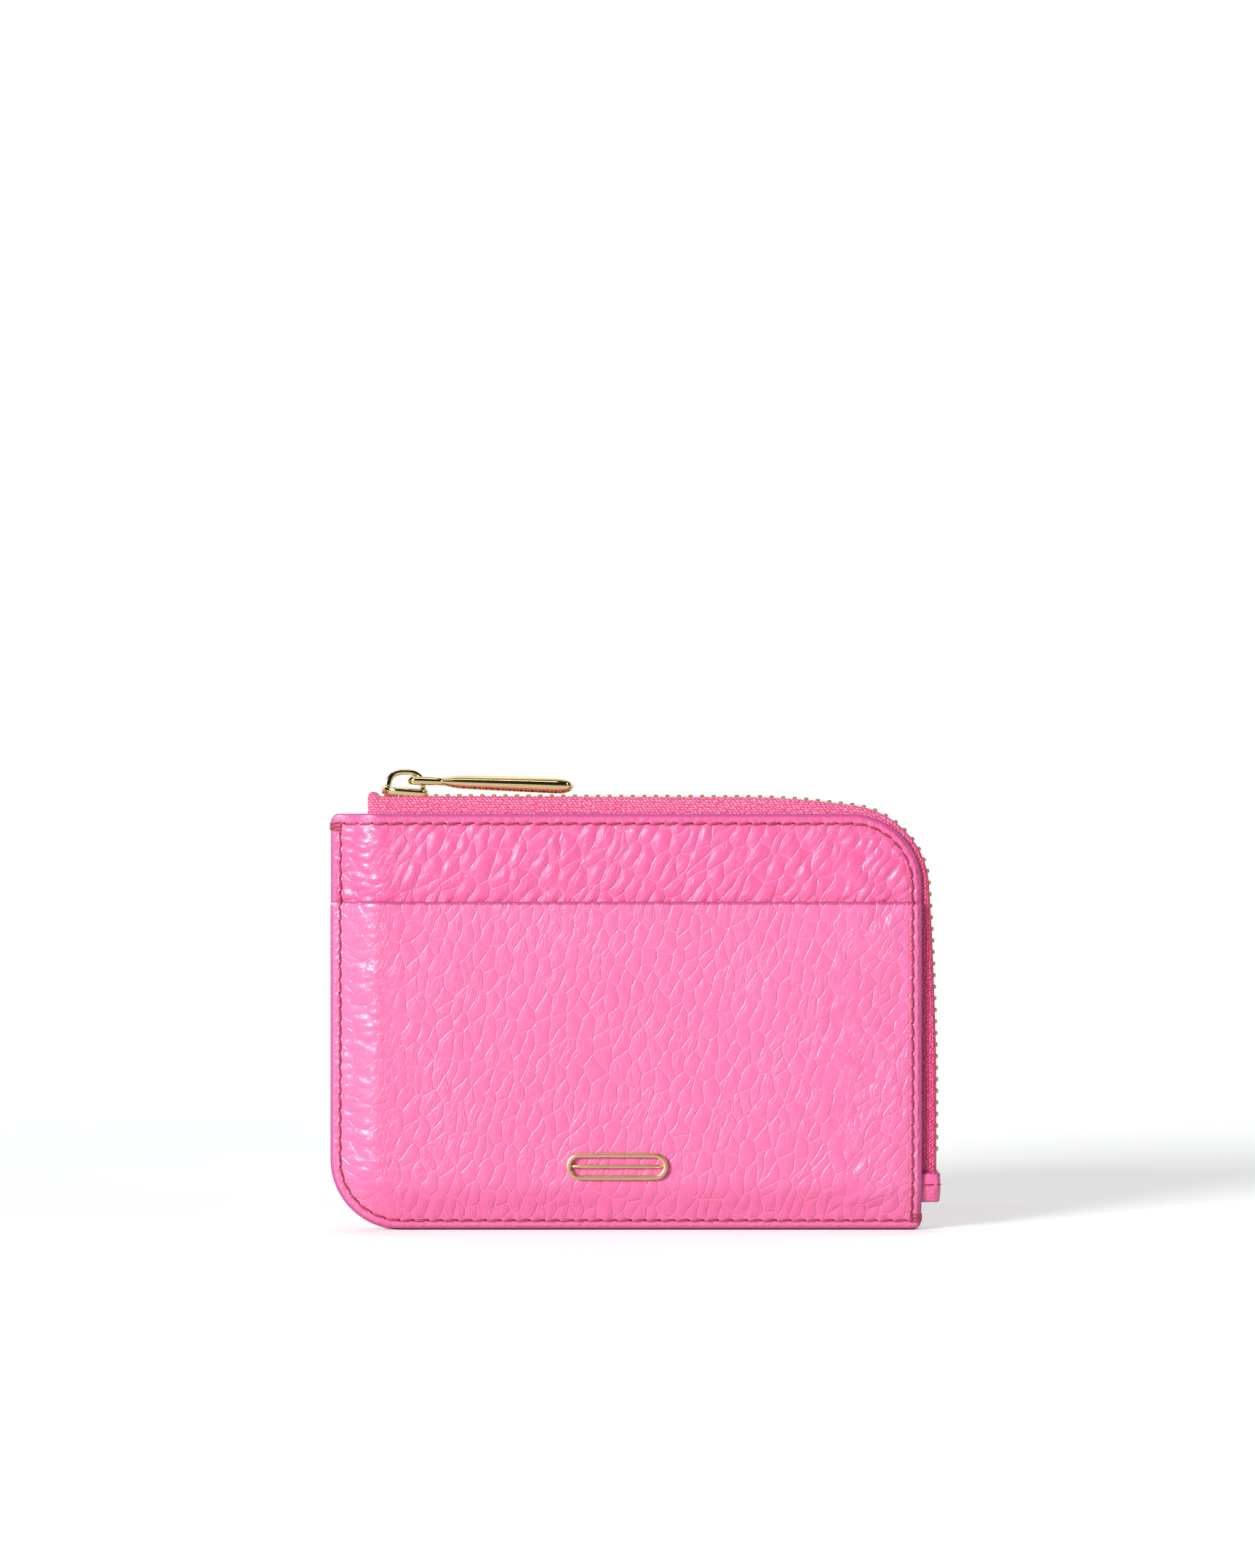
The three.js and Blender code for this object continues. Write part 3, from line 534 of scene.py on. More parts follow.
def grain(nodes, skin, hide):
    """Pebbles and creases of the leather at a point of its skin.

    Returns the pebbles' height and the creases' depth, both from 0 to 1, and how far the skin
    is wrinkled by the seam beside it.
    """
    x, z, edge = nodes.separate(skin)
    drift = nodes.noise(skin, 0.16, 1.0) - 0.5
    sway = nodes.noise(nodes.combine(z, x, 9.0), 0.16, 1.0) - 0.5
    fine = nodes.noise(skin, 0.9) - 0.5
    wx = x + (drift * 2.2 + fine * 0.35)
    wz = z + (sway * 2.2 + fine * -0.35)

    def leaning(cosine, sine, wide, tall):
        """Cells whose upper ends lean over by that angle."""
        return nodes.cells((wx * cosine - wz * sine) / wide, (wx * sine + wz * cosine) / tall)

    upright_pebbles = leaning(math.cos(hide.lean), math.sin(hide.lean), *hide.cell)
    small = leaning(math.cos(hide.lean), math.sin(hide.lean), *HAIR_CELL)
    # Beside the sewn left edge the skin is drawn into wrinkles that run across it.
    side = nodes.span(drift * 12.0 + x, 17.0, 8.0)
    cell = nodes.mix(side, upright_pebbles, leaning(1.0, 0.0, *FOLD_CELL))
    # Near the zip the folds climb to the right.
    zip_side = nodes.span(drift * 14.0 + x, 105.0, 113.0)
    cell = nodes.mix(zip_side, cell, leaning(*ZIP_FOLD_LEAN, *ZIP_FOLD_CELL))
    side = nodes.math("MAXIMUM", side, zip_side)
    crease = 1.0 - nodes.span(cell, 0.0, 0.09)
    hair = 1.0 - nodes.span(small, 0.0, 0.14)
    patchy = nodes.span(nodes.noise(skin, 0.11, 1.0), 0.35, 0.65)
    hair = hair * (patchy * 0.3 + 0.08)
    crease = crease * (fine * 1.2 + 0.75)
    # The band outside the stitches is pressed smooth.
    pressed = nodes.span(edge, 1.2, 3.2, 0.12, 1.0)
    pebble = nodes.span(cell, 0.0, 0.42) * (zip_side * 0.3 + pressed) * pressed
    return pebble, nodes.math("MAXIMUM", crease, hair) * pressed, side


def painted_contact_shade(nodes):
    """Painted shade: how far the edge paint is darkened along the very bottom, standing in for the
    contact shadow where the wallet stands.
    """
    return nodes.span(nodes.separate(nodes.place())[2], 0.5 * MM, 0.28 * MM)


# The near-black is painted shade for the contact shadow along the bottom edge.
# The pale pink is a painted highlight on the creases.
CREASE_HIGHLIGHT_PINK, LAPPED_PAINT, CONTACT_SHADE = (1.0, 0.36, 0.58), (0.58, 0.085, 0.27), (0.07, 0.006, 0.03)


def leather_material(name, hide):
    nodes = Surface(name)
    skin = nodes.attribute("skin")
    pebble, crease, side = grain(nodes, skin, hide)
    pores = nodes.noise(skin, 6.0)
    # Outside the stitches the skin is drawn into small puckers.
    edge = nodes.separate(skin)[2]
    pucker = nodes.noise(skin, 0.85, 1.0) * nodes.span(edge, 2.7, 1.9) * nodes.span(edge, 0.5, 1.1)
    height = pucker * 0.4 + (pores * 0.014 + crease * -hide.line)
    pink = nodes.tint(nodes.noise(skin, 0.05), *hide.tones)
    # Painted highlight: the creases are paler, for the glints on their flanks.
    pink = nodes.tint(crease * 0.3, pink, CREASE_HIGHLIGHT_PINK)
    # The paint that seals the cut edge laps a little over the face.
    painted = nodes.span(pores * 0.12 + nodes.attribute("rim", "Fac"), 0.84, 0.6)
    pink = nodes.tint(painted, pink, LAPPED_PAINT)
    # Painted shade: the lapped edge paint goes nearly black along the very bottom, for the contact
    # shadow.
    pink = nodes.tint(painted * painted_contact_shade(nodes), pink, CONTACT_SHADE)
    return nodes.finish(
        pink, side * -0.07 + (pores * 0.14 + 0.3), height,
        Specular_IOR_Level=0.6, Coat_Weight=0.35, Coat_Roughness=0.28,
    )


def edge_paint_material():
    nodes = Surface("edge_paint")
    streak = nodes.noise(nodes.attribute("skin"), 0.8, 3.0)
    colour = nodes.tint(streak, (0.42, 0.06, 0.2), (0.58, 0.1, 0.3))
    # Painted shade: nearly black along the very bottom, for the contact shadow.
    colour = nodes.tint(painted_contact_shade(nodes), colour, CONTACT_SHADE)
    return nodes.finish(colour, streak * 0.2 + 0.3, streak * 0.05)


def lining_material():
    nodes = Surface("lining_cloth")
    x, z, _ = nodes.separate(nodes.attribute("skin"))
    thread = 2 * math.pi / 0.35
    weave = nodes.math("SINE", x * thread) * nodes.math("SINE", z * thread)
    slub = nodes.noise(nodes.combine(x, z * 8.0), 0.4)
    colour = nodes.tint(weave * 0.15 + slub * 0.8, (0.34, 0.03, 0.12), (0.55, 0.07, 0.22))
    return nodes.finish(colour, slub * 0.2 + 0.7, weave * 0.02, Sheen_Weight=0.25)


ROW_HEIGHT, KNOT_LENGTH = 0.52, 0.8


def tape_material():
    """Woven tape, in rows along it of slanting knots, each row half a knot on from the last."""
    nodes = Surface("zip_tape")
    along, over, _ = nodes.separate(nodes.attribute("weave"))
    flat = nodes.combine(along, over)
    uneven = nodes.noise(flat, 1.3)
    row = (uneven * 0.4 + over) / ROW_HEIGHT
    knot = row * 0.5 + (uneven * 0.5 + along) / KNOT_LENGTH
    height = nodes.span(nodes.cells(knot, row, "F1", 0.35), 0.62, 0.0)
    fuzz = nodes.noise(flat, 6.0)
    # The knots' tops are painted paler and the gaps between them deeper: painted highlight and
    # shade by knot height.
    colour = nodes.tint(height * 1.3 + (fuzz * 0.5 - 0.4), (0.88, 0.045, 0.2), (1.0, 0.46, 0.7))
    # The stretch below the corner is painted deeper: painted shade, as it lies back behind the
    # leather's edge.
    low = nodes.span(along, CORNER_START, CORNER_END)
    colour = nodes.tint(low, colour, (1.0, 0.55, 0.74), "MULTIPLY")
    return nodes.finish(colour, fuzz * 0.2 + 0.45, fuzz * 0.04 + height * 0.2)


def thread_material():
    nodes = Surface("seam_thread")
    fibre = nodes.noise(nodes.place(), 4200.0)
    tone = fibre * 0.6 + nodes.noise(nodes.place(), 350.0, 1.0) * 0.5
    colour = nodes.tint(tone, (0.2, 0.008, 0.035), (0.6, 0.09, 0.16))
    return nodes.finish(colour, fibre * 0.2 + 0.26, fibre * 0.03, Specular_IOR_Level=0.5)


# Painted shade: the dark of the needle holes.
def hole_shade_material():
    nodes = Surface("needle_hole_shade")
    shade = nodes.noise(nodes.place(), 900.0, 1.0)
    colour = nodes.tint(shade, (0.12, 0.005, 0.02), (0.24, 0.014, 0.05))
    return nodes.finish(colour, shade * 0.1 + 0.85)


def gold_material(name, roughness, tint):
    """Pale gold plating with faint handling marks."""
    nodes = Surface(name)
    smear = nodes.noise(nodes.place(), 260.0, 3.0)
    marks = nodes.noise(nodes.place(), 2400.0)
    deeper = tuple(channel * factor for channel, factor in zip(tint, (0.93, 0.88, 0.78)))
    rough = marks * 0.03 + (smear * 0.06 + roughness)
    return nodes.finish(nodes.tint(smear, tint, deeper), rough, marks * 0.0015, Metallic=1.0)


PANEL_LEATHER = leather_material("panel_leather", PANEL_HIDE)
POCKET_LEATHER = leather_material("pocket_leather", POCKET_HIDE)
EDGE_PAINT = edge_paint_material()
LINING_CLOTH = lining_material()
TAPE_CLOTH = tape_material()
THREAD = thread_material()
NEEDLE_HOLE_SHADE = hole_shade_material()
POLISHED = gold_material("polished_gold", 0.07, (0.96, 0.77, 0.42))
SATIN_METAL = gold_material("satin_gold", 0.28, (0.98, 0.76, 0.46))
TOOTH_METAL = gold_material("tooth_gold", 0.3, (0.95, 0.71, 0.33))

# ---- Leather, lining and card slots -------------------------------------------------------------


def on_outline(u, v, size, radii, inset):
    """A grid of u and v from 0 to 1, moved so that its rim follows a rounded rectangle."""
    width, height = size
    x = inset + u * (width - 2 * inset)
    z = inset + v * (height - 2 * inset)
    for (right, top), radius in zip(((0, 0), (1, 0), (1, 1), (0, 1)), radii):
        reach = radius - inset
        if reach <= 0:
            continue
        sign_x, sign_z = (1 if right else -1), (1 if top else -1)
        centre_x = width - radius if right else radius
        centre_z = height - radius if top else radius
        a = (x - centre_x) * sign_x / reach
        b = (z - centre_z) * sign_z / reach
        inside = (a > 0) & (b > 0)
        a, b = np.clip(a, 0, 1), np.clip(b, 0, 1)
        x = np.where(inside, centre_x + sign_x * reach * a * np.sqrt(1 - b * b / 2), x)
        z = np.where(inside, centre_z + sign_z * reach * b * np.sqrt(1 - a * a / 2), z)
    return x, z


def grid(size, step):
    """Numbers from 0 to 1 across and up a sheet, about a step apart."""
    counts = (round(length / step) + 1 for length in size)
    return np.meshgrid(*(np.linspace(0, 1, count) for count in counts))


def along_edge(x, z):
    """Roughly how far round the outline a point near the rim is."""
    lower = BIG_CORNER * np.arctan2(BIG_CORNER - z, BIG_CORNER - x)
    upper = BIG_CORNER * np.arctan2(z - CORNER_Z, x - CORNER_X)
    nearest = np.argmin(np.stack([x, z, LENGTH - x, HEIGHT - z]), axis=0)
    straight = np.where((nearest == 0) | (nearest == 2), z, x)
    at_lower = (x < BIG_CORNER) & (z < BIG_CORNER)
    at_upper = (x > CORNER_X) & (z > CORNER_Z)
    return np.where(at_lower, lower, np.where(at_upper, upper, straight))


def wrinkles(x, z, seed):
    """Soft creasing of the whole hide, strongest beside the sewn edge and near the zip."""
    wander = noise(x / 9, z / 9, seed)
    left = ease((18 - x - 4 * wander) / 9) * ease((x - 1.8) / 2.5)
    ridges = noise(x / 6, z / 1.9 + 0.12 * x + wander, seed + 1)
    ridges += 0.6 * noise(x / 3.5, z / 1.15, seed + 2)
    height = 0.2 * left * ridges
    # Folds that climb to the right, between the pocket's flat middle and the zip.
    climb = (x * 0.5 - z * 0.87) / 2.1 + 0.7 * wander
    near_zip = ease((x - 99 + 5 * wander) / 8) * ease((LENGTH - 2.6 - x) / 3)
    height += 0.24 * near_zip * noise(climb, (x + z) / 6, seed + 3)
    top = ease((z - HEIGHT + 19) / 6) * ease((HEIGHT - 2.6 - z) / 3)
    height += 0.14 * top * noise((x - 0.6 * z) / 2.3, z / 8, seed + 4)
    height += 0.06 * noise(x / 6, z / 7, seed + 5) + 0.16 * noise(x / 26, z / 24, seed + 6)
    # The stitches pull the skin into a pucker each.
    edge = edge_distance(x, z)
    puckers = 0.5 + 0.5 * np.cos(2 * np.pi * along_edge(x, z) / STITCH_PITCH)
    puckers *= 0.6 + 0.6 * noise(x / 4, z / 4, seed + 7)
    pulled = 0.15 * dent(edge - STITCH_INSET - 0.9, 1.1) * puckers
    return height * ease((edge - 1.5) / 3.5) + pulled


LEATHER_STEP, LINING_STEP = 0.5, 1.5
SEEDS = {PANEL: 11, POCKET: 23}
STITCH_GROOVE, EDGE_ROUNDING = 0.24, 0.26
# How far the panel slopes in under the pocket's mouth, and how far the pocket's lip gapes.
MOUTH_DIP, MOUTH_GAPE, MOUTH_RISE_FROM = 0.35, 0.22, 38


def layer_sheet(name, side, layer, size, radii, step, materials, bulge=0.32):
    """One layer of the pouch as a closed sheet that follows the pillow shape."""
    x, z = on_outline(*grid(size, step), size, radii, bulge)
    half, edge = half_thickness(x, z), edge_distance(x, z)
    inner_y, outer_y = half + layer[0], half + layer[1]
    if layer is not LINING:
        outer_y += wrinkles(x, z, SEEDS[layer] + (36 if side == BACK else 0))
        outer_y -= STITCH_GROOVE * dent(edge - STITCH_INSET, 0.5)
        outer_y -= EDGE_ROUNDING * (1 - ease(edge))
    if layer is PANEL and side == FRONT:
        # The pocket's edge holds the panel down, so it slopes in towards the mouth.
        outer_y -= MOUTH_DIP * (1 - ease((z - MOUTH) / 5)) * ease((edge - 1) / 2.5)
    if layer is POCKET:
        lift = MOUTH_GAPE * np.sin(np.pi * np.clip(x / LENGTH, 0, 1)) ** 0.5
        lift *= ease((z - MOUTH_RISE_FROM) / (MOUTH - MOUTH_RISE_FROM))
        outer_y += lift - 0.16 * (1 - ease(MOUTH - z))
        inner_y += lift
    outer, inner = np.stack([x, side * outer_y, z], 2), np.stack([x, side * inner_y, z], 2)
    points, faces, slots, depth = thick_patch(outer, inner, bulge, side == BACK)
    made = make_object(name, points, faces, materials, slots)
    across = points[:, 0] if side == FRONT else LENGTH - points[:, 0]
    up = points[:, 2] + (0 if layer is PANEL else POCKET_SHIFT)
    distance = edge_distance(points[:, 0], points[:, 2])
    store(made, "skin", np.stack([across, up, distance], 1))
    store(made, "rim", np.minimum(distance, size[1] - points[:, 2]))
    store(made, "outer", ease(1 - depth * 6))
    return made


def press_grain(made, hide):
    """Raises the pebbles in the mesh itself, from the same pattern as the material's creases."""
    tree = bpy.data.node_groups.new("grain", "GeometryNodeTree")
    for in_out in ("INPUT", "OUTPUT"):
        tree.interface.new_socket("Geometry", in_out=in_out, socket_type="NodeSocketGeometry")
    nodes = Nodes(tree)
    named = "GeometryNodeInputNamedAttribute"
    skin = nodes.build(named, {"Name": "skin"}, data_type="FLOAT_VECTOR")
    outer = nodes.build(named, {"Name": "outer"}, data_type="FLOAT")
    height = grain(nodes, skin, hide)[0] * hide.dome * outer * MM
    normal = nodes.build("GeometryNodeInputNormal", ())
    offset = nodes.build("ShaderNodeVectorMath", {0: normal, "Scale": height}, operation="SCALE")
    source = nodes.build("NodeGroupInput", ())
    moved = nodes.build("GeometryNodeSetPosition", {"Geometry": source, "Offset": offset})
    nodes.plug(nodes.add("NodeGroupOutput").inputs[0], moved)
    modifier = made.modifiers.new("grain", "NODES")
    modifier.node_group = tree
    bpy.context.view_layer.update()
    graph = bpy.context.evaluated_depsgraph_get()
    shaped = bpy.data.meshes.new_from_object(made.evaluated_get(graph), depsgraph=graph)
    made.modifiers.clear()
    plain, made.data = made.data, shaped
    bpy.data.meshes.remove(plain)


def leather_layers():
    full, pocket = (LENGTH, HEIGHT), (LENGTH, MOUTH)
    square_top = (BIG_CORNER, SMALL_CORNER, 0.0, 0.0)
    panel = (full, OUTLINE_RADII, PANEL_LEATHER, PANEL_HIDE)
    for name, side, layer, (size, radii, leather, hide), nodes in (
        ("back_leather", BACK, PANEL, panel, ["back_panel"]),
        ("front_leather", FRONT, PANEL, panel, ["front_panel", "front_panel_flap"]),
        ("slip_pocket_leather", FRONT, POCKET, (pocket, square_top, POCKET_LEATHER, POCKET_HIDE),
         ["slip_pocket", "slip_pocket_flap"]),
    ):
        made = layer_sheet(name, side, layer, size, radii, LEATHER_STEP, [leather, EDGE_PAINT])
        press_grain(made, hide)
        settle(made, "leather", BODY[side], *nodes)


LINING_GAP = 7.3


def linings():
    size = (LENGTH - LINING_GAP, HEIGHT - LINING_GAP)
    radii = (BIG_CORNER, SMALL_CORNER, BIG_CORNER - LINING_GAP, SMALL_CORNER)
    corners = sum(radius**2 for radius in radii) * (1 - math.pi / 4)
    area = (size[0] * size[1] - corners) * MM**2
    for name, side, under, nodes in (
        ("back_lining_cloth", BACK, "back_leather", ["back_lining"]),
        ("front_lining_cloth", FRONT, "front_leather", ["front_lining", "front_lining_flap"]),
    ):
        cloth = [LINING_CLOTH, LINING_CLOTH]
        made = layer_sheet(name, side, LINING, size, radii, LINING_STEP, cloth, bulge=0.1)
        settle(made, "lining", BODY[side], *nodes)


def card_slots():
    for number in (1, 2, 3):
        node = f"card_slot_{number}"
        low, high = box(node)
        size = (high[0] - low[0], high[2] - low[2])
        x, z = on_outline(*grid(size, LINING_STEP), size, (3.0, 3.0, 1.5, 1.5), 0.2)
        crease = 0.06 * dent(size[1] - 1.6 - z, 0.35)
        soft = 0.05 * noise(x / 11, z / 11, 60 + number) * ease((size[1] - z) / 20)
        outer = np.stack([x + low[0], low[1] + crease + soft + 0.05, z + low[2]], 2)
        inner = np.stack([x + low[0], np.full_like(x, high[1]), z + low[2]], 2)
        points, faces, slots, _ = thick_patch(outer, inner, 0.2, False)
        made = make_object(f"{node}_leather", points, faces, [POCKET_LEATHER, EDGE_PAINT], slots)
        store_skin(made, points[:, 0] + 130 * number, points[:, 2], 3.0)
        store(made, "rim", high[2] - points[:, 2] + 0.1)
        settle(made, "leather", "wallet_body", node)


# ---- Stitching ----------------------------------------------------------------------------------


def outline_path(inset, step=0.25):
    """Closed path inside the leather's edge, and lengths along it."""
    centres = [(0, 0), (1, 0), (1, 1), (0, 1)]
    pieces = []
    for k, ((right, top), radius) in enumerate(zip(centres, OUTLINE_RADII)):
        centre = [LENGTH - radius if right else radius, HEIGHT - radius if top else radius]
        start, reach = math.pi + k * math.pi / 2, radius - inset
        turns = np.linspace(start, start + math.pi / 2, max(2, int(abs(reach) * 1.6 / step)))
        if reach <= 0:
            turns, reach = np.array([start + math.pi / 4]), reach * math.sqrt(2)
        pieces.append(centre + reach * np.stack([np.cos(turns), np.sin(turns)], 1))
    path = np.vstack([*pieces, pieces[0][:1]])
    return path, lengths_along(path)


def along_outline(inset, distances):
    """Points on that path and the directions outward, at distances along it."""
    path, lengths = outline_path(inset)
    point = at_distance(np.mod(distances, lengths[-1]), lengths, path)
    ahead = at_distance(np.mod(distances + 0.05, lengths[-1]), lengths, path)
    return point, right_of(unit(ahead - point))


def seam_surface(x, z, side):
    """Height of the outermost leather under the stitches, with its groove."""
    lift = np.where((side == FRONT) & (z < MOUTH + 0.2), POCKET[1], PANEL[1])
    return half_thickness(x, z) + lift - 0.12


STITCH_WIDE, STITCH_HIGH, STITCH_SUNK, STITCH_ARCH = 0.26, 0.25, 0.24, 0.38
STITCH_TWIST = 3.6


def stitch(start, length, side):
    """One stitch of two-ply thread that slants a little and dips in at both ends."""
    t = np.linspace(0, 1, 19)
    centre, out = along_outline(STITCH_INSET, start + t * length)
    line = centre + out * (STITCH_SLANT * (0.5 - t))[:, None]
    arch = np.sin(np.pi * t) ** 0.4
    surface = seam_surface(line[:, 0], line[:, 1], side)
    path = upright(line, side * (surface - STITCH_SUNK + STITCH_ARCH * arch))
    angle = side * 2 * math.pi * np.arange(10) / 10
    plies = 0.84 + 0.34 * np.abs(np.cos(t[:, None] * length * STITCH_TWIST + angle))
    plies = plies * (0.45 + 0.55 * arch)[:, None]
    section = np.stack([
        STITCH_WIDE * plies * np.cos(angle), STITCH_HIGH * plies * np.sin(angle)
    ], 2)
    return sweep(path, upright(out), [0.0, side, 0.0], section)


def stitching(name, side, *nodes):
    _, lengths = outline_path(STITCH_INSET)
    count = round(lengths[-1] / STITCH_PITCH)
    pitch = lengths[-1] / count
    starts = (np.arange(count) + 0.5) * pitch
    parts = [stitch(start + 0.03, pitch - 0.06, side) for start in starts]
    thread = make_object(name, *together(parts), [THREAD])
    centres, outs = along_outline(STITCH_INSET, starts)
    # Each stitch end gets a dark lens: painted shade for the needle hole.
    hole_shades = [needle_hole_shade(c, o, side) for c, o in zip(centres, outs)]
    hole_shade = make_object(name.replace("stitching", "needle_hole_shades"), *together(hole_shades), [NEEDLE_HOLE_SHADE])
    settle(thread, "thread", BODY[side], *nodes)
    settle(hole_shade, "thread", BODY[side])


def needle_hole_shade(centre, out, side):
    """Painted shade where the thread goes into the leather: a small dark shallow closed lens, for
    the shadow in the needle hole.
    """
    y = seam_surface(*centre, side)
    path = upright([centre] * 3, side * (y + np.array([-0.25, -0.06, 0.04])))
    rings = [ellipse(0.2, 0.16, 8), ellipse(0.3, 0.22, 8), ellipse(0.22, 0.16, 8)]
    if side == BACK:
        rings = [ring[::-1] for ring in rings]
    return sweep(path, upright(out), upright([-out[1], out[0]]), rings)


def wrapped_thread(path, radius):
    """A thread that follows points in space, and stays level across."""
    up = np.array([0.0, 0.0, 1.0])
    across = np.cross(headings(path), up)
    return sweep(path, across, up, ellipse(radius, radius, 8)[::-1])


def smooth_path(points, rounds):
    """Cuts the corners of an open path a few times."""
    path = np.asarray(points, float)
    for _ in range(rounds):
        quarters = [mix(path[:-1], path[1:], share) for share in (0.25, 0.75)]
        path = np.vstack([path[:1], np.stack(quarters, 1).reshape(-1, 3), path[-1:]])
    return path


TACK_TURNS, TACK_STEP, TACK_THREAD = 4, 0.42, 0.2


def bar_tacks():
    """A few turns of thread wrapped over the edge at two corners of the seam."""
    for node, edge_x, inward, height, lift in (
        ("bar_tack_top", 0.0, 1, 85.4, PANEL[1]),
        ("bar_tack_bottom", LENGTH, -1, 2.6, POCKET[1]),
    ):
        parts = []
        for turn in range(TACK_TURNS):
            z = height + (turn - (TACK_TURNS - 1) / 2) * TACK_STEP
            deep = edge_x + inward * (STITCH_INSET + 0.15)
            rim = edge_x - inward * 0.12
            front_deep = -(half_thickness(deep, z) + lift - 0.1)
            back_deep = half_thickness(deep, z) + PANEL[1] - 0.1
            front_rim = -(half_thickness(edge_x, z) + lift + 0.1)
            back_rim = half_thickness(edge_x, z) + PANEL[1] + 0.1
            slant = 0.25 * (1 if turn % 2 else -1)
            parts.append(wrapped_thread(smooth_path([
                [deep, front_deep + 0.3, z + slant],
                [deep - inward * 0.1, front_deep - 0.05, z + slant],
                [rim + inward * 0.5, front_rim, z],
                [rim, front_rim + 0.4, z],
                [rim, back_rim - 0.4, z],
                [rim + inward * 0.5, back_rim, z],
                [deep - inward * 0.1, back_deep + 0.05, z - slant],
                [deep, back_deep - 0.3, z - slant],
            ], 2), TACK_THREAD))
        made = make_object(f"{node}_thread", *together(parts), [THREAD])
        settle(made, "thread", "wallet_body", node)


def seam_edge():
    """Paint that seals the stacked layers along the left side and the bottom."""
    _, lengths = outline_path(0.0)
    distances = np.arange(0, lengths[-1], 0.8)
    centre, out = along_outline(0.0, distances)
    x, z = centre.T
    on_left = (x < SMALL_CORNER) & (z < HEIGHT - SMALL_CORNER)
    on_seam = on_left | ((z < BIG_CORNER) & (x < LENGTH - SMALL_CORNER))
    # The path starts at the lower left corner, so the left side comes before it.
    before = np.where(on_left & (z > BIG_CORNER), distances - lengths[-1], distances)
    keep = [k for k in np.argsort(before) if on_seam[k]]
    sections = []
    for x, z in centre[keep]:
        half = float(half_thickness(x, z))
        front = half + (POCKET[1] if z < MOUTH - 0.3 else PANEL[1]) - 0.6
        back = half + PANEL[1] - 0.6
        middle, reach = (back - front) / 2, (back + front) / 2
        turns = np.linspace(-math.pi / 2, math.pi / 2, 9)
        bulge = np.stack([0.2 * np.cos(turns) - 0.4, middle + reach * np.sin(turns)], 1)
        sections.append(np.vstack([bulge, [[-0.9, middle + reach], [-0.9, middle - reach]]]))
    points, faces = sweep(upright(centre[keep]), upright(out[keep]), [0.0, 1.0, 0.0], sections)
    made = make_object("seam_edge_paint", points, faces, [EDGE_PAINT])
    store(made, "skin", points[:, [0, 2, 1]])
    settle(made, "leather", "wallet_body")


# ---- Zip ----------------------------------------------------------------------------------------


def zip_path(step):
    """Points along the leather's edge beside the zip, with directions outward and lengths."""
    total = CORNER_END + CORNER_Z - TAPE_END
    distance = np.linspace(0, total, round(total / step) + 1)
    angle = np.clip((distance - CORNER_START) / BIG_CORNER, 0, math.pi / 2)
    out = np.stack([np.sin(angle), np.cos(angle)], 1)
    on_top = distance < CORNER_START
    x = np.where(on_top, TAPE_START + distance, CORNER_X + BIG_CORNER * out[:, 0])
    down = np.maximum(distance - CORNER_END, 0)
    z = np.where(on_top, HEIGHT, CORNER_Z + BIG_CORNER * out[:, 1] - down)
    return np.stack([x, z], 1), out, distance


# How far the middle of the chain stands off the leather, by distance along the tape, which is
# drawn in round the corner.
DRAW_AT = (0, 16, 40, 84, 95, CORNER_START, CORNER_START + 11, CORNER_END - 2, CORNER_END + 8,
           CORNER_END + 20, CORNER_END + 36)
DRAW_BY = (3.4, 3.4, 3.3, 3.2, 2.5, 1.5, 0.85, 1.2, 1.9, 2.4, 2.9)


def chain_offset(distance):
    around = np.linspace(-4, 4, 5)
    return np.mean([np.interp(distance + shift, DRAW_AT, DRAW_BY) for shift in around], axis=0)


TAPE_DEPTH = 7.0


def tape_section(half_edge, half_deep, inner_edge, outer):
    """Outline of the folded tape: (distance outward from the leather, distance from the middle)."""
    fold = min(1.15, outer * 0.6)
    face = half_edge + TAPE[1]
    turns = np.linspace(0, math.pi / 2, 7)
    quarter = np.stack([np.sin(turns), np.cos(turns)], 1)
    centre = [outer - fold, face - fold]
    outer_fold = centre + fold * quarter
    inner_fold = centre + max(fold - 0.6, 0.08) * quarter[::-1]
    rest = np.linspace(0, 1, 5)[1:, None]
    flat = mix(outer_fold[-1:], np.array([[outer, inner_edge]]), rest)
    under = mix(np.array([[outer - 0.6, inner_edge]]), inner_fold[:1], rest[:-1] - 0.25)
    seam = [[0.0, half_edge + TAPE[0]], [-TAPE_DEPTH, half_deep + TAPE[0]]]
    outside = [[-TAPE_DEPTH, half_deep + TAPE[1]], [-3.0, half_deep + TAPE[1]], [0.0, face]]
    return np.vstack([outside, outer_fold, flat, under, inner_fold, seam])


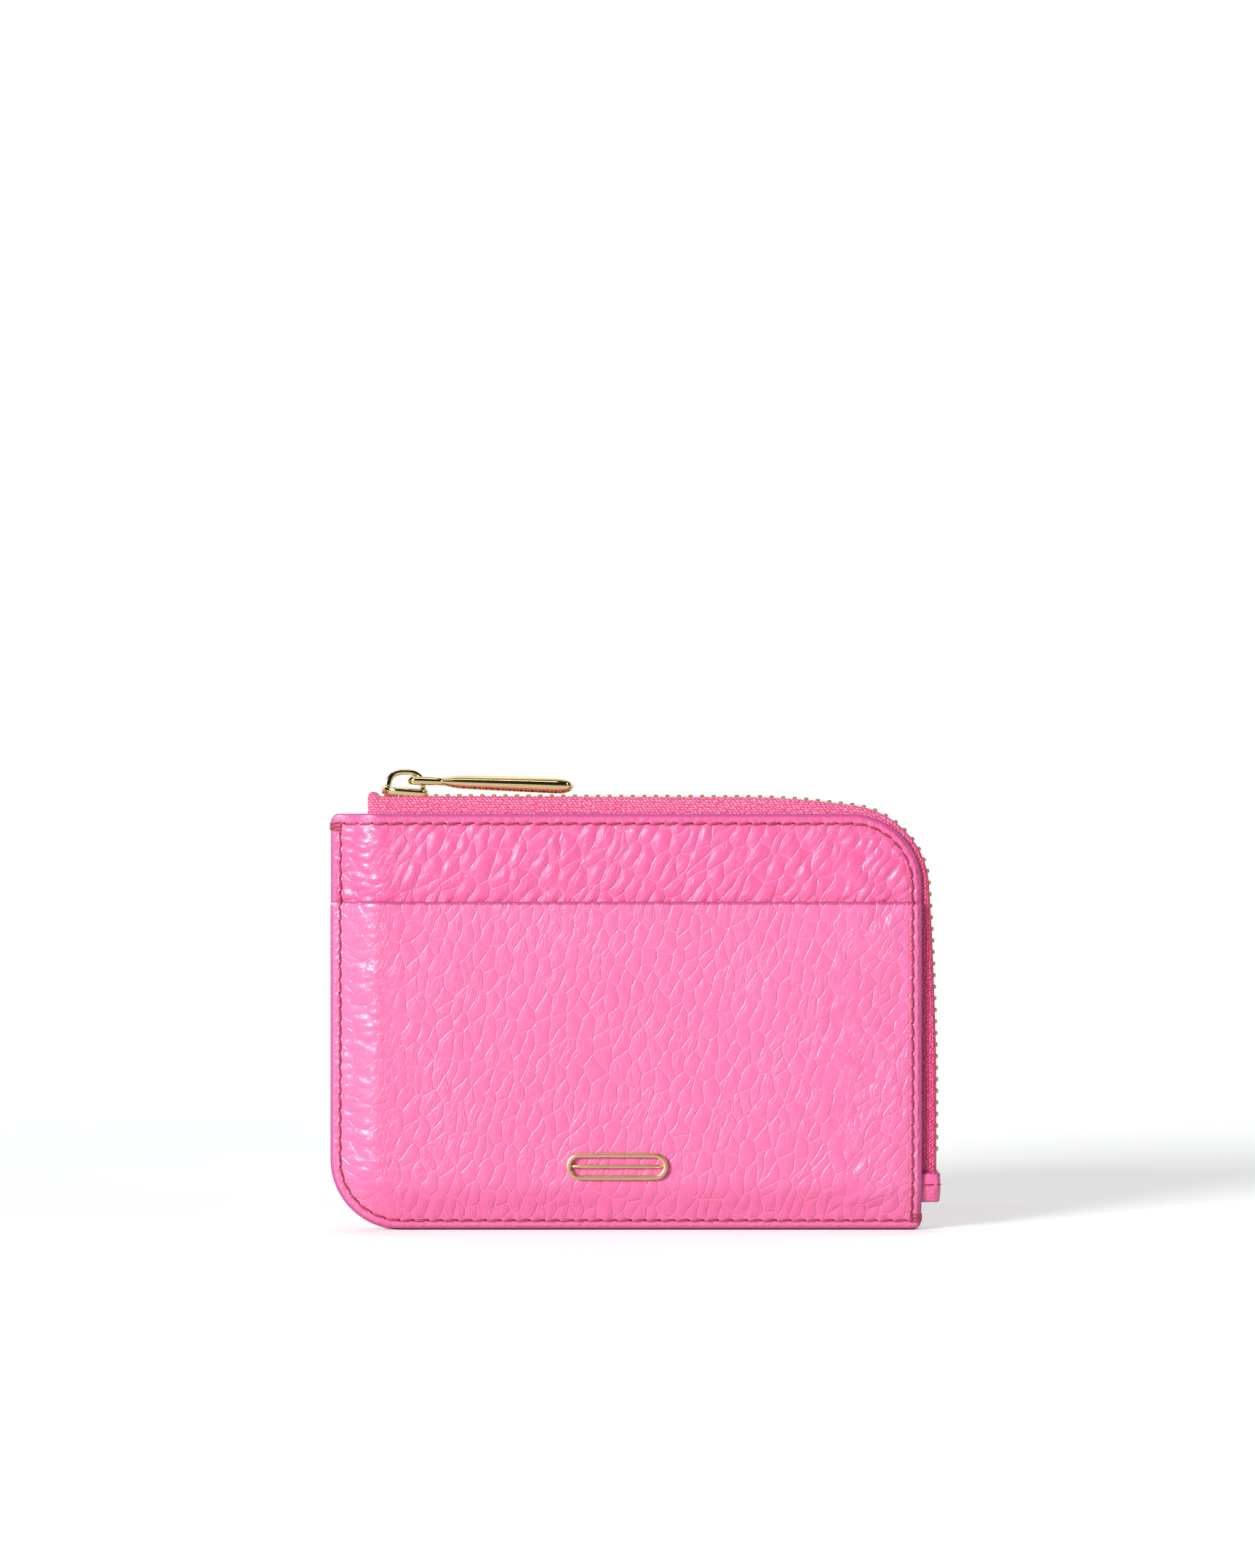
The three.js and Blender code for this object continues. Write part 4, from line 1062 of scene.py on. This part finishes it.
def zip_tape(name, side, *nodes):
    path, out, distance = zip_path(0.8)
    # The cut end has more steps, because its corner is round.
    steps = np.concatenate([[0.0, 0.1, 0.25, 0.45, 0.65], distance[1:]])
    path, out = at_distance(steps, distance, path), unit(at_distance(steps, distance, out))
    sections, over = [], []
    for step, (x, z), (out_x, out_z) in zip(steps, path, out):
        half_edge = float(half_thickness(x, z))
        half_deep = float(half_thickness(x - TAPE_DEPTH * out_x, z - TAPE_DEPTH * out_z))
        near_start = float(ease((x - 10.2) / 0.9)) if z > CORNER_Z else 1.0
        # The cut end is folded under, so it stands up and its upper corner is round.
        raised = 1.1 * float(ease((10.6 - x) / 1.6)) if z > CORNER_Z else 0.0
        outer = float(chain_offset(step)) + 0.3 + raised
        inner_edge = min(mix(0.3, 1.45, near_start), half_edge - 1.3)
        section = tape_section(half_edge, half_deep, inner_edge, outer)
        rise = math.sqrt(max(0.0, 1 - (1 - min(step / 1.3, 1.0)) ** 2))
        section[:, 0] = np.minimum(section[:, 0], mix(outer - 1.6, outer, rise))
        ripple = 0.06 * noise(np.array([step / 3.0]), np.array([side * 5.0]), 71)[0]
        section[:, 1] += ripple * (section[:, 0] > -1)
        order = -1 if side == FRONT else 1
        sections.append(section[::order])
        over.append(lengths_along(section)[::order])
    points, faces = sweep(upright(path), upright(out), [0.0, side, 0.0], sections)
    made = make_object(name, points, faces, [TAPE_CLOTH])
    along, over = np.repeat(steps, len(over[0])), np.concatenate(over)
    store(made, "weave", np.stack([along, over, 0 * along], 1))
    settle(made, "tape", BODY[side], *nodes)


FIRST_TOOTH_X, LAST_TOOTH_Z = 14.4, 13.2
BACK_ROW_DROP = 0.42


def tooth(side):
    """A tooth at the origin: its head past the middle and two jaws over the tape's edge."""
    return for_side(side, *together([
        rounded_box((-0.4, -0.6, -0.5), (0.4, 1.5, 0.5), 0.14),
        rounded_box((-0.46, 0.35, 0.15), (0.46, 2.6, 0.8), 0.18),
        rounded_box((-0.46, 0.35, -0.8), (0.46, 2.6, -0.15), 0.18),
    ]))


def teeth(name, side, *nodes):
    """Teeth at even steps along the drawn-in chain. The back row sits a little lower."""
    path, out, distance = zip_path(0.2)
    chain = path + out * chain_offset(distance)[:, None]
    lengths = lengths_along(chain)
    ends = (FIRST_TOOTH_X - TAPE_START, CORNER_END + CORNER_Z - LAST_TOOTH_Z)
    start, end = np.interp(ends, distance, lengths)
    phase, drop = (0.25, 0.0) if side == FRONT else (0.75, BACK_ROW_DROP)
    shape, faces = tooth(side)
    parts = []
    for k in range(int((end - start) / TOOTH_PITCH)):
        at = start + (k + phase) * TOOTH_PITCH
        outward = upright(unit(at_distance(at, lengths, out)))
        wobble = 0.04 * (lattice(np.int64(k), np.int64(side + 2), 5) - 0.5) - drop
        centre = upright(at_distance(at, lengths, chain)) + outward * wobble
        forward = [outward[2], 0.0, -outward[0]]
        parts.append((centre + shape @ np.array([forward, [0, 1, 0], outward]), faces))
    made = make_object(name, *together(parts), [TOOTH_METAL])
    made.data.polygons.foreach_set("use_smooth", np.zeros(len(made.data.polygons), bool))
    settle(made, "metal", BODY[side], *nodes)


def top_stops():
    for name, side in (("top_stop_front", FRONT), ("top_stop_back", BACK)):
        shape = rounded_box((9.2, 0.35, CHAIN_Z - 0.9), (10.4, 2.5, CHAIN_Z + 0.85), 0.25)
        made = make_object(f"{name}_metal", *for_side(side, *shape), [TOOTH_METAL])
        settle(made, "metal", "wallet_body", name)


TAB_RIGHT = LENGTH + 3.2 + TAB_LEATHER


def tab_outline(start, z, steps):
    """(x, y) path round the outside of the tab, from its front to its back, and its lengths."""
    half = float(half_thickness(LENGTH, z)) + PANEL[0] + TAB_LEATHER
    turns = np.linspace(-math.pi / 2, 0, steps)
    bend = TAB_TURN * np.stack([np.cos(turns), 1 + np.sin(turns)], 1)
    front = np.vstack([[[start, -half]], [TAB_RIGHT - TAB_TURN, -half] + bend])
    path = np.vstack([front, front[::-1] * [1, -1]])
    return path, lengths_along(path)


def end_tab():
    """Leather wrapped round the zip's lower end."""
    outer, inner = [], []
    for z in np.linspace(6.3, 12.0, 15):
        path, lengths = tab_outline(LENGTH - 0.6, z, 9)
        line = at_distance(np.linspace(0, lengths[-1], 61), lengths, path)
        normal = right_of(headings(line))
        puff = 0.12 * math.cos((z - 9.1) / 2.9 * math.pi / 2) - 0.14 * dent(z - TAB_SEAM_Z, 0.4)
        height = np.full(len(line), z)
        outer.append(np.column_stack([line + normal * puff, height]))
        inner.append(np.column_stack([line - normal * TAB_LEATHER, height]))
    points, faces, slots, _ = thick_patch(np.array(outer), np.array(inner), 0.3, False)
    made = make_object("zip_end_tab_leather", points, faces, [PANEL_LEATHER, EDGE_PAINT], slots)
    store_skin(made, points[:, 0] + points[:, 1] + 200, points[:, 2], 1.8)
    store(made, "rim", np.full(len(points), 1.8))
    settle(made, "leather", "wallet_body", "zip_end_tab")


def tab_stitches():
    path, lengths = tab_outline(LENGTH + 0.1, TAB_SEAM_Z, 7)
    count = round(lengths[-1] / 2.6)
    t = np.linspace(0, 1, 9)
    parts = []
    for k in range(count):
        line = at_distance((k + mix(0.08, 0.92, t)) * lengths[-1] / count, lengths, path)
        arch = np.sin(np.pi * t)[:, None] ** 0.6
        line = line + right_of(headings(line)) * (0.36 * arch - 0.25)
        height = TAB_SEAM_Z + 0.12 * (t - 0.5)
        parts.append(wrapped_thread(np.column_stack([line, height]), 0.19))
    made = make_object("zip_end_tab_thread", *together(parts), [THREAD])
    settle(made, "thread", "wallet_body", "tab_stitching")


# ---- Metal parts --------------------------------------------------------------------------------

SLIDER_TILT = 0.08
SLIDER_NOSE, SLIDER_TAIL = 3.2, 1.6
SLOT_HALF, LIP_WIDTH = 0.62, 0.7


def rounded_in(distance, radius):
    """How far a round end has drawn in the sides, by distance past where it starts."""
    return radius - np.sqrt(radius**2 - np.clip(distance, 0, radius) ** 2)


def slider():
    """Two wings on a wedge, each with lips that hold the rows of teeth in."""
    low, high = box("slider_body")
    left, reach, half = low[0], high[0] - low[0], (high[1] - low[1]) / 2
    outer = (high[2] - low[2]) / 2
    turns = 1 - np.cos(np.linspace(0, math.pi / 2, 9))
    straight = np.linspace(SLIDER_NOSE, reach - SLIDER_TAIL, 6)[1:-1]
    far = reach - SLIDER_TAIL * turns[::-1]
    along = np.concatenate([SLIDER_NOSE * turns, straight, far])
    width = half - rounded_in(SLIDER_NOSE - along, SLIDER_NOSE)
    width -= rounded_in(along - reach + SLIDER_TAIL, SLIDER_TAIL)
    sections = []
    for k, w in enumerate(width):
        end = 0.18 if k in (0, len(width) - 1) else 0.0
        edge, wall = w - end, max(w - LIP_WIDTH, 0.1)
        profile = [
            [edge - 0.12, SLOT_HALF + end], [edge, SLOT_HALF + 0.14 + end],
            [edge, outer - 0.42], [edge - 0.05, outer - 0.22], [edge - 0.16, outer - 0.08],
            [edge - 0.36, outer - end], [w * 0.45, outer + 0.1 - end],
        ]
        inside = [[wall, SLOT_HALF + end], [wall, SLOT_HALF + 0.5 + end]]
        mirrored = [[-y, z] for y, z in profile[::-1]]
        sections.append(profile + mirrored + [[-y, z] for y, z in inside] + inside[::-1])
    upper = np.array(sections)
    lower = upper[:, ::-1] * [1, -1]
    parts = []
    # The upper wing tilts down towards the tail.
    for wing, tilt in ((upper, -SLIDER_TILT), (lower, 0.0)):
        path = upright(np.stack([left + along, CHAIN_Z + tilt * (along - reach / 2)], 1))
        parts.append(sweep(path, [0.0, 1.0, 0.0], [0.0, 0.0, 1.0], wing))
    wedge = [[0.5, 0.5], [1.6, 0.95], [3.4, 0.05], [3.4, -0.05], [1.6, -0.95], [0.5, -0.5]]
    ends = [[left, 0, CHAIN_Z - 1.3], [left, 0, CHAIN_Z + 1.3]]
    parts.append(sweep(ends, [1.0, 0, 0], [0, 1.0, 0], wedge))
    made = make_object("slider_metal", *together(parts), [POLISHED])
    made.data.set_sharp_from_angle(angle=math.radians(50))
    settle(made, "metal", "slider", "slider_body")


def crown():
    """The arched strap on the slider that holds the puller."""
    low, high = box("slider_crown")
    middle, half = (low[0] + high[0]) / 2, (high[0] - low[0]) / 2 - 0.6
    rise = high[2] - low[2] - 0.55
    turns = np.linspace(0, math.pi, 33)
    flare = np.sign(np.cos(turns)) * np.abs(np.cos(turns)) ** 0.8
    arch = np.abs(np.sin(turns)) ** 0.75
    path = upright(np.stack([middle + half * flare, low[2] + rise * arch], 1))
    # Its feet sink into the slider.
    path[0, 2], path[-1, 2] = low[2] - 0.8, low[2] - 0.2
    up = np.cross([0.0, 1.0, 0.0], headings(path))
    sections = [strap_section(w, 0.6) for w in 1.15 + 0.5 * np.abs(np.cos(turns)) ** 4]
    shape = sweep(path, [0.0, 1.0, 0.0], up, sections)
    made = make_object("slider_crown_metal", *shape, [POLISHED])
    smooth_more(made, 1)
    settle(made, "metal", "slider", "slider_crown")


def strap_section(half_width, half_height):
    """A flat strap's outline with round edges."""
    corner = half_height * 0.55
    quarters = []
    for k, (right, top) in enumerate(((1, 1), (-1, 1), (-1, -1), (1, -1))):
        turns = np.radians(90 * k + np.array([0, 30, 60, 90]))
        centre = [right * (half_width - corner), top * (half_height - corner)]
        quarters.append(centre + corner * np.stack([np.cos(turns), np.sin(turns)], 1))
    return np.vstack(quarters)


PULLER_TILT = math.radians(1.9)
LOOP_REACH, LOOP_HALF, LOOP_CORNER = 8.4, 2.25, 1.0
# Along the puller's bar: distance from its hinge, half its thickness and half its width.
BAR_STATIONS = np.array([
    [5.6, 0.35, 1.9], [5.75, 0.78, 2.6], [6.4, 0.88, 2.88], [7.6, 0.94, 2.92], [8.8, 1.3, 3.02],
    [10.6, 1.46, 3.15], [14.0, 1.52, 3.25], [20.0, 1.62, 3.4], [26.0, 1.72, 3.5],
    [30.5, 1.79, 3.58], [32.4, 1.72, 3.45], [33.5, 1.42, 3.0], [34.15, 0.95, 2.2],
    [34.4, 0.4, 1.1],
])


def puller():
    """Bar that swells to its round end, with a loop round the crown."""
    pivot = np.array(joint("puller_swing")["pos_m"]) / MM - ORIGIN
    up = np.array([0.0, 0.0, 1.0])
    # The loop: a wire bent into a U, whose closed end is the pin in the crown.
    turns = np.linspace(math.pi / 2, math.pi, 9)
    bend = LOOP_CORNER * np.stack([1 + np.cos(turns), np.sin(turns) - 1], 1)
    half_loop = np.vstack([[[LOOP_REACH, LOOP_HALF]], [0, LOOP_HALF] + bend])
    loop = np.vstack([half_loop, half_loop[::-1] * [1, -1]]) - [0.02, 0.0]
    path = np.column_stack([loop, np.zeros(len(loop))])
    wire = sweep(path, np.cross(headings(path), up), up, ellipse(0.68, 0.92)[::-1])
    sections = [super_ellipse(width, high) for _, high, width in BAR_STATIONS]
    bar = sweep(BAR_STATIONS * [1, 0, 0], [0.0, 1.0, 0.0], up, sections)
    points, faces = together([wire, bar])
    c, s = math.cos(PULLER_TILT), math.sin(PULLER_TILT)
    turned = points @ np.array([[c, 0, -s], [0, 1, 0], [s, 0, c]])
    made = make_object("puller_metal", turned + pivot, faces, [POLISHED])
    smooth_more(made, 2)
    settle(made, "metal", "puller", "puller")


EMBLEM_WIRE, EMBLEM_BAR = 0.52, 0.42


def emblem():
    """A plain round-ended link with a slim bar, in satin wire."""
    low, high = box("emblem_link")
    centre = (low + high) / 2
    half_length, _, half_height = (high - low) / 2 - EMBLEM_WIRE
    turns = np.linspace(-math.pi / 2, math.pi / 2, 13)
    right = half_height * np.stack([np.cos(turns), np.sin(turns)], 1)
    right += [half_length - half_height, 0]
    path = upright(np.vstack([right, -right])) + centre
    forward = unit(np.roll(path, -1, axis=0) - np.roll(path, 1, axis=0))
    up = np.array([0.0, -1.0, 0.0])
    section = super_ellipse(EMBLEM_WIRE, 0.55, 16)[::-1]
    ring = sweep(path, np.cross(forward, up), up, section, closed=True)
    bar_path = [[half_length * share, 0.06, 0.0] for share in (-1, -0.5, 0, 0.5, 1)] + centre
    section = super_ellipse(EMBLEM_BAR, EMBLEM_BAR, 12)
    bar = sweep(bar_path, [0.0, 0.0, 1.0], [0.0, 1.0, 0.0], section)
    made = make_object("emblem_metal", *together([ring, bar]), [SATIN_METAL])
    smooth_more(made, 1)
    settle(made, "metal", "wallet_body", "emblem_link")


# ---- Stage, light and camera --------------------------------------------------------------------

FLOOR_HALF = 25.0


def stage():
    mesh = bpy.data.meshes.new("floor")
    corners = ((-1, -1), (1, -1), (1, 1), (-1, 1))
    mesh.from_pydata([(x * FLOOR_HALF, y * FLOOR_HALF, 0) for x, y in corners], [], [(0, 1, 2, 3)])
    floor = bpy.data.objects.new("floor", mesh)
    bpy.context.scene.collection.objects.link(floor)
    nodes = Surface("floor")
    # To the camera only it glows: painted light that lifts it to white, more so farther off and in
    # front of the wallet, and less close by, so that the shadow there stays deep.
    place = nodes.place()
    away = nodes.build("ShaderNodeVectorMath", (place,), "Value", operation="LENGTH")
    front = nodes.span(nodes.separate(place)[1], 0.0, -0.02, 0.0, 0.16)
    painted_floor_light = nodes.seen() * (nodes.span(away, 0.2, 0.9, 0.31, 0.6) + front)
    mesh.materials.append(nodes.finish(
        (0.755, 0.78, 0.77), 0.9, Specular_IOR_Level=0.1,
        Emission_Color=(1, 1, 1), Emission_Strength=painted_floor_light,
    ))


def aim(name, data, place, target):
    made = bpy.data.objects.new(name, data)
    made.location = place
    made.rotation_euler = (Vector(target) - Vector(place)).to_track_quat("-Z", "Y").to_euler()
    bpy.context.scene.collection.objects.link(made)


STUDIO_GLOW = (0.015, 0.95)


def lights():
    """A low soft key from the camera's left, with strips that catch the edges."""
    sun = bpy.data.lights.new("key", "SUN")
    sun.energy, sun.angle = 3.3, math.radians(20)
    aim("key", sun, (-0.8, -0.85, 0.4), (0.0, 0.0, 0.0))
    for name, place, size, power in (
        ("left_strip", (-0.5, -0.8, 0.38), (0.45, 0.5), 1.2),
        ("right_strip", (0.9, -0.5, 0.5), (0.12, 0.5), 1.2),
        ("top_strip", (-0.2, -0.5, 0.95), (0.6, 0.1), 1.0),
        ("overhead", (0.0, 0.15, 1.1), (1.3, 0.9), 1.0),
        ("back_fill", (0.35, 0.9, 0.55), (0.8, 0.6), 1.2),
    ):
        lamp = bpy.data.lights.new(name, "AREA")
        lamp.shape = "RECTANGLE"
        lamp.size, lamp.size_y = size
        lamp.energy = power
        aim(name, lamp, place, (0.0, 0.0, 0.05))
    world = bpy.data.worlds.new("studio")
    bpy.context.scene.world = world
    world.use_nodes = True
    world.node_tree.nodes.clear()
    nodes = Nodes(world.node_tree)
    # A pale backdrop stands behind the object and the studio round the camera is dim.
    direction = nodes.separate(nodes.build("ShaderNodeTexCoord", (), "Generated"))
    strength = nodes.mix(nodes.seen(), nodes.span(direction[1], 0.1, 0.5, *STUDIO_GLOW), 1.0)
    background = {"Color": (1, 1, 1), "Strength": strength}
    output = nodes.add("ShaderNodeOutputWorld")
    nodes.plug(output.inputs[0], nodes.build("ShaderNodeBackground", background))
    bpy.context.scene.view_settings.view_transform = "Standard"


# In metres, except for the sensor, which is in millimetres as Blender has it.
CAMERA_DISTANCE, CAMERA_HEIGHT, CAMERA_RIGHT = 0.85, 0.0944, 0.0629
VIEW_HEIGHT, SENSOR = 0.3303, 36.0


def camera():
    """Level, square to the front, with the horizon just under the top of the slider."""
    data = bpy.data.cameras.new("camera")
    data.sensor_width = SENSOR
    data.lens = SENSOR * CAMERA_DISTANCE / VIEW_HEIGHT
    data.clip_start, data.clip_end = 0.01, 20
    made = bpy.data.objects.new("camera", data)
    made.location = (panel_low.x + CAMERA_RIGHT, pocket_low.y - CAMERA_DISTANCE, CAMERA_HEIGHT)
    made.rotation_euler = (math.pi / 2, 0, 0)
    bpy.context.scene.collection.objects.link(made)
    bpy.context.scene.camera = made


# ---- Assembly -----------------------------------------------------------------------------------

camera()
stage()
lights()
leather_layers()
linings()
card_slots()
stitching("front_stitching_thread", FRONT, "front_stitching", "front_stitching_flap")
stitching("back_stitching_thread", BACK, "back_stitching")
bar_tacks()
seam_edge()
zip_tape(
    "zip_tape_front", FRONT,
    "zipper_tape_front", "zipper_tape_front_start", "zipper_tape_front_end",
)
zip_tape("zip_tape_back", BACK, "zipper_tape_back")
teeth("teeth_front", FRONT, "zipper_teeth_front", "zipper_teeth_front_start")
teeth("teeth_back", BACK, "zipper_teeth_back")
top_stops()
end_tab()
tab_stitches()
slider()
crown()
puller()
emblem()
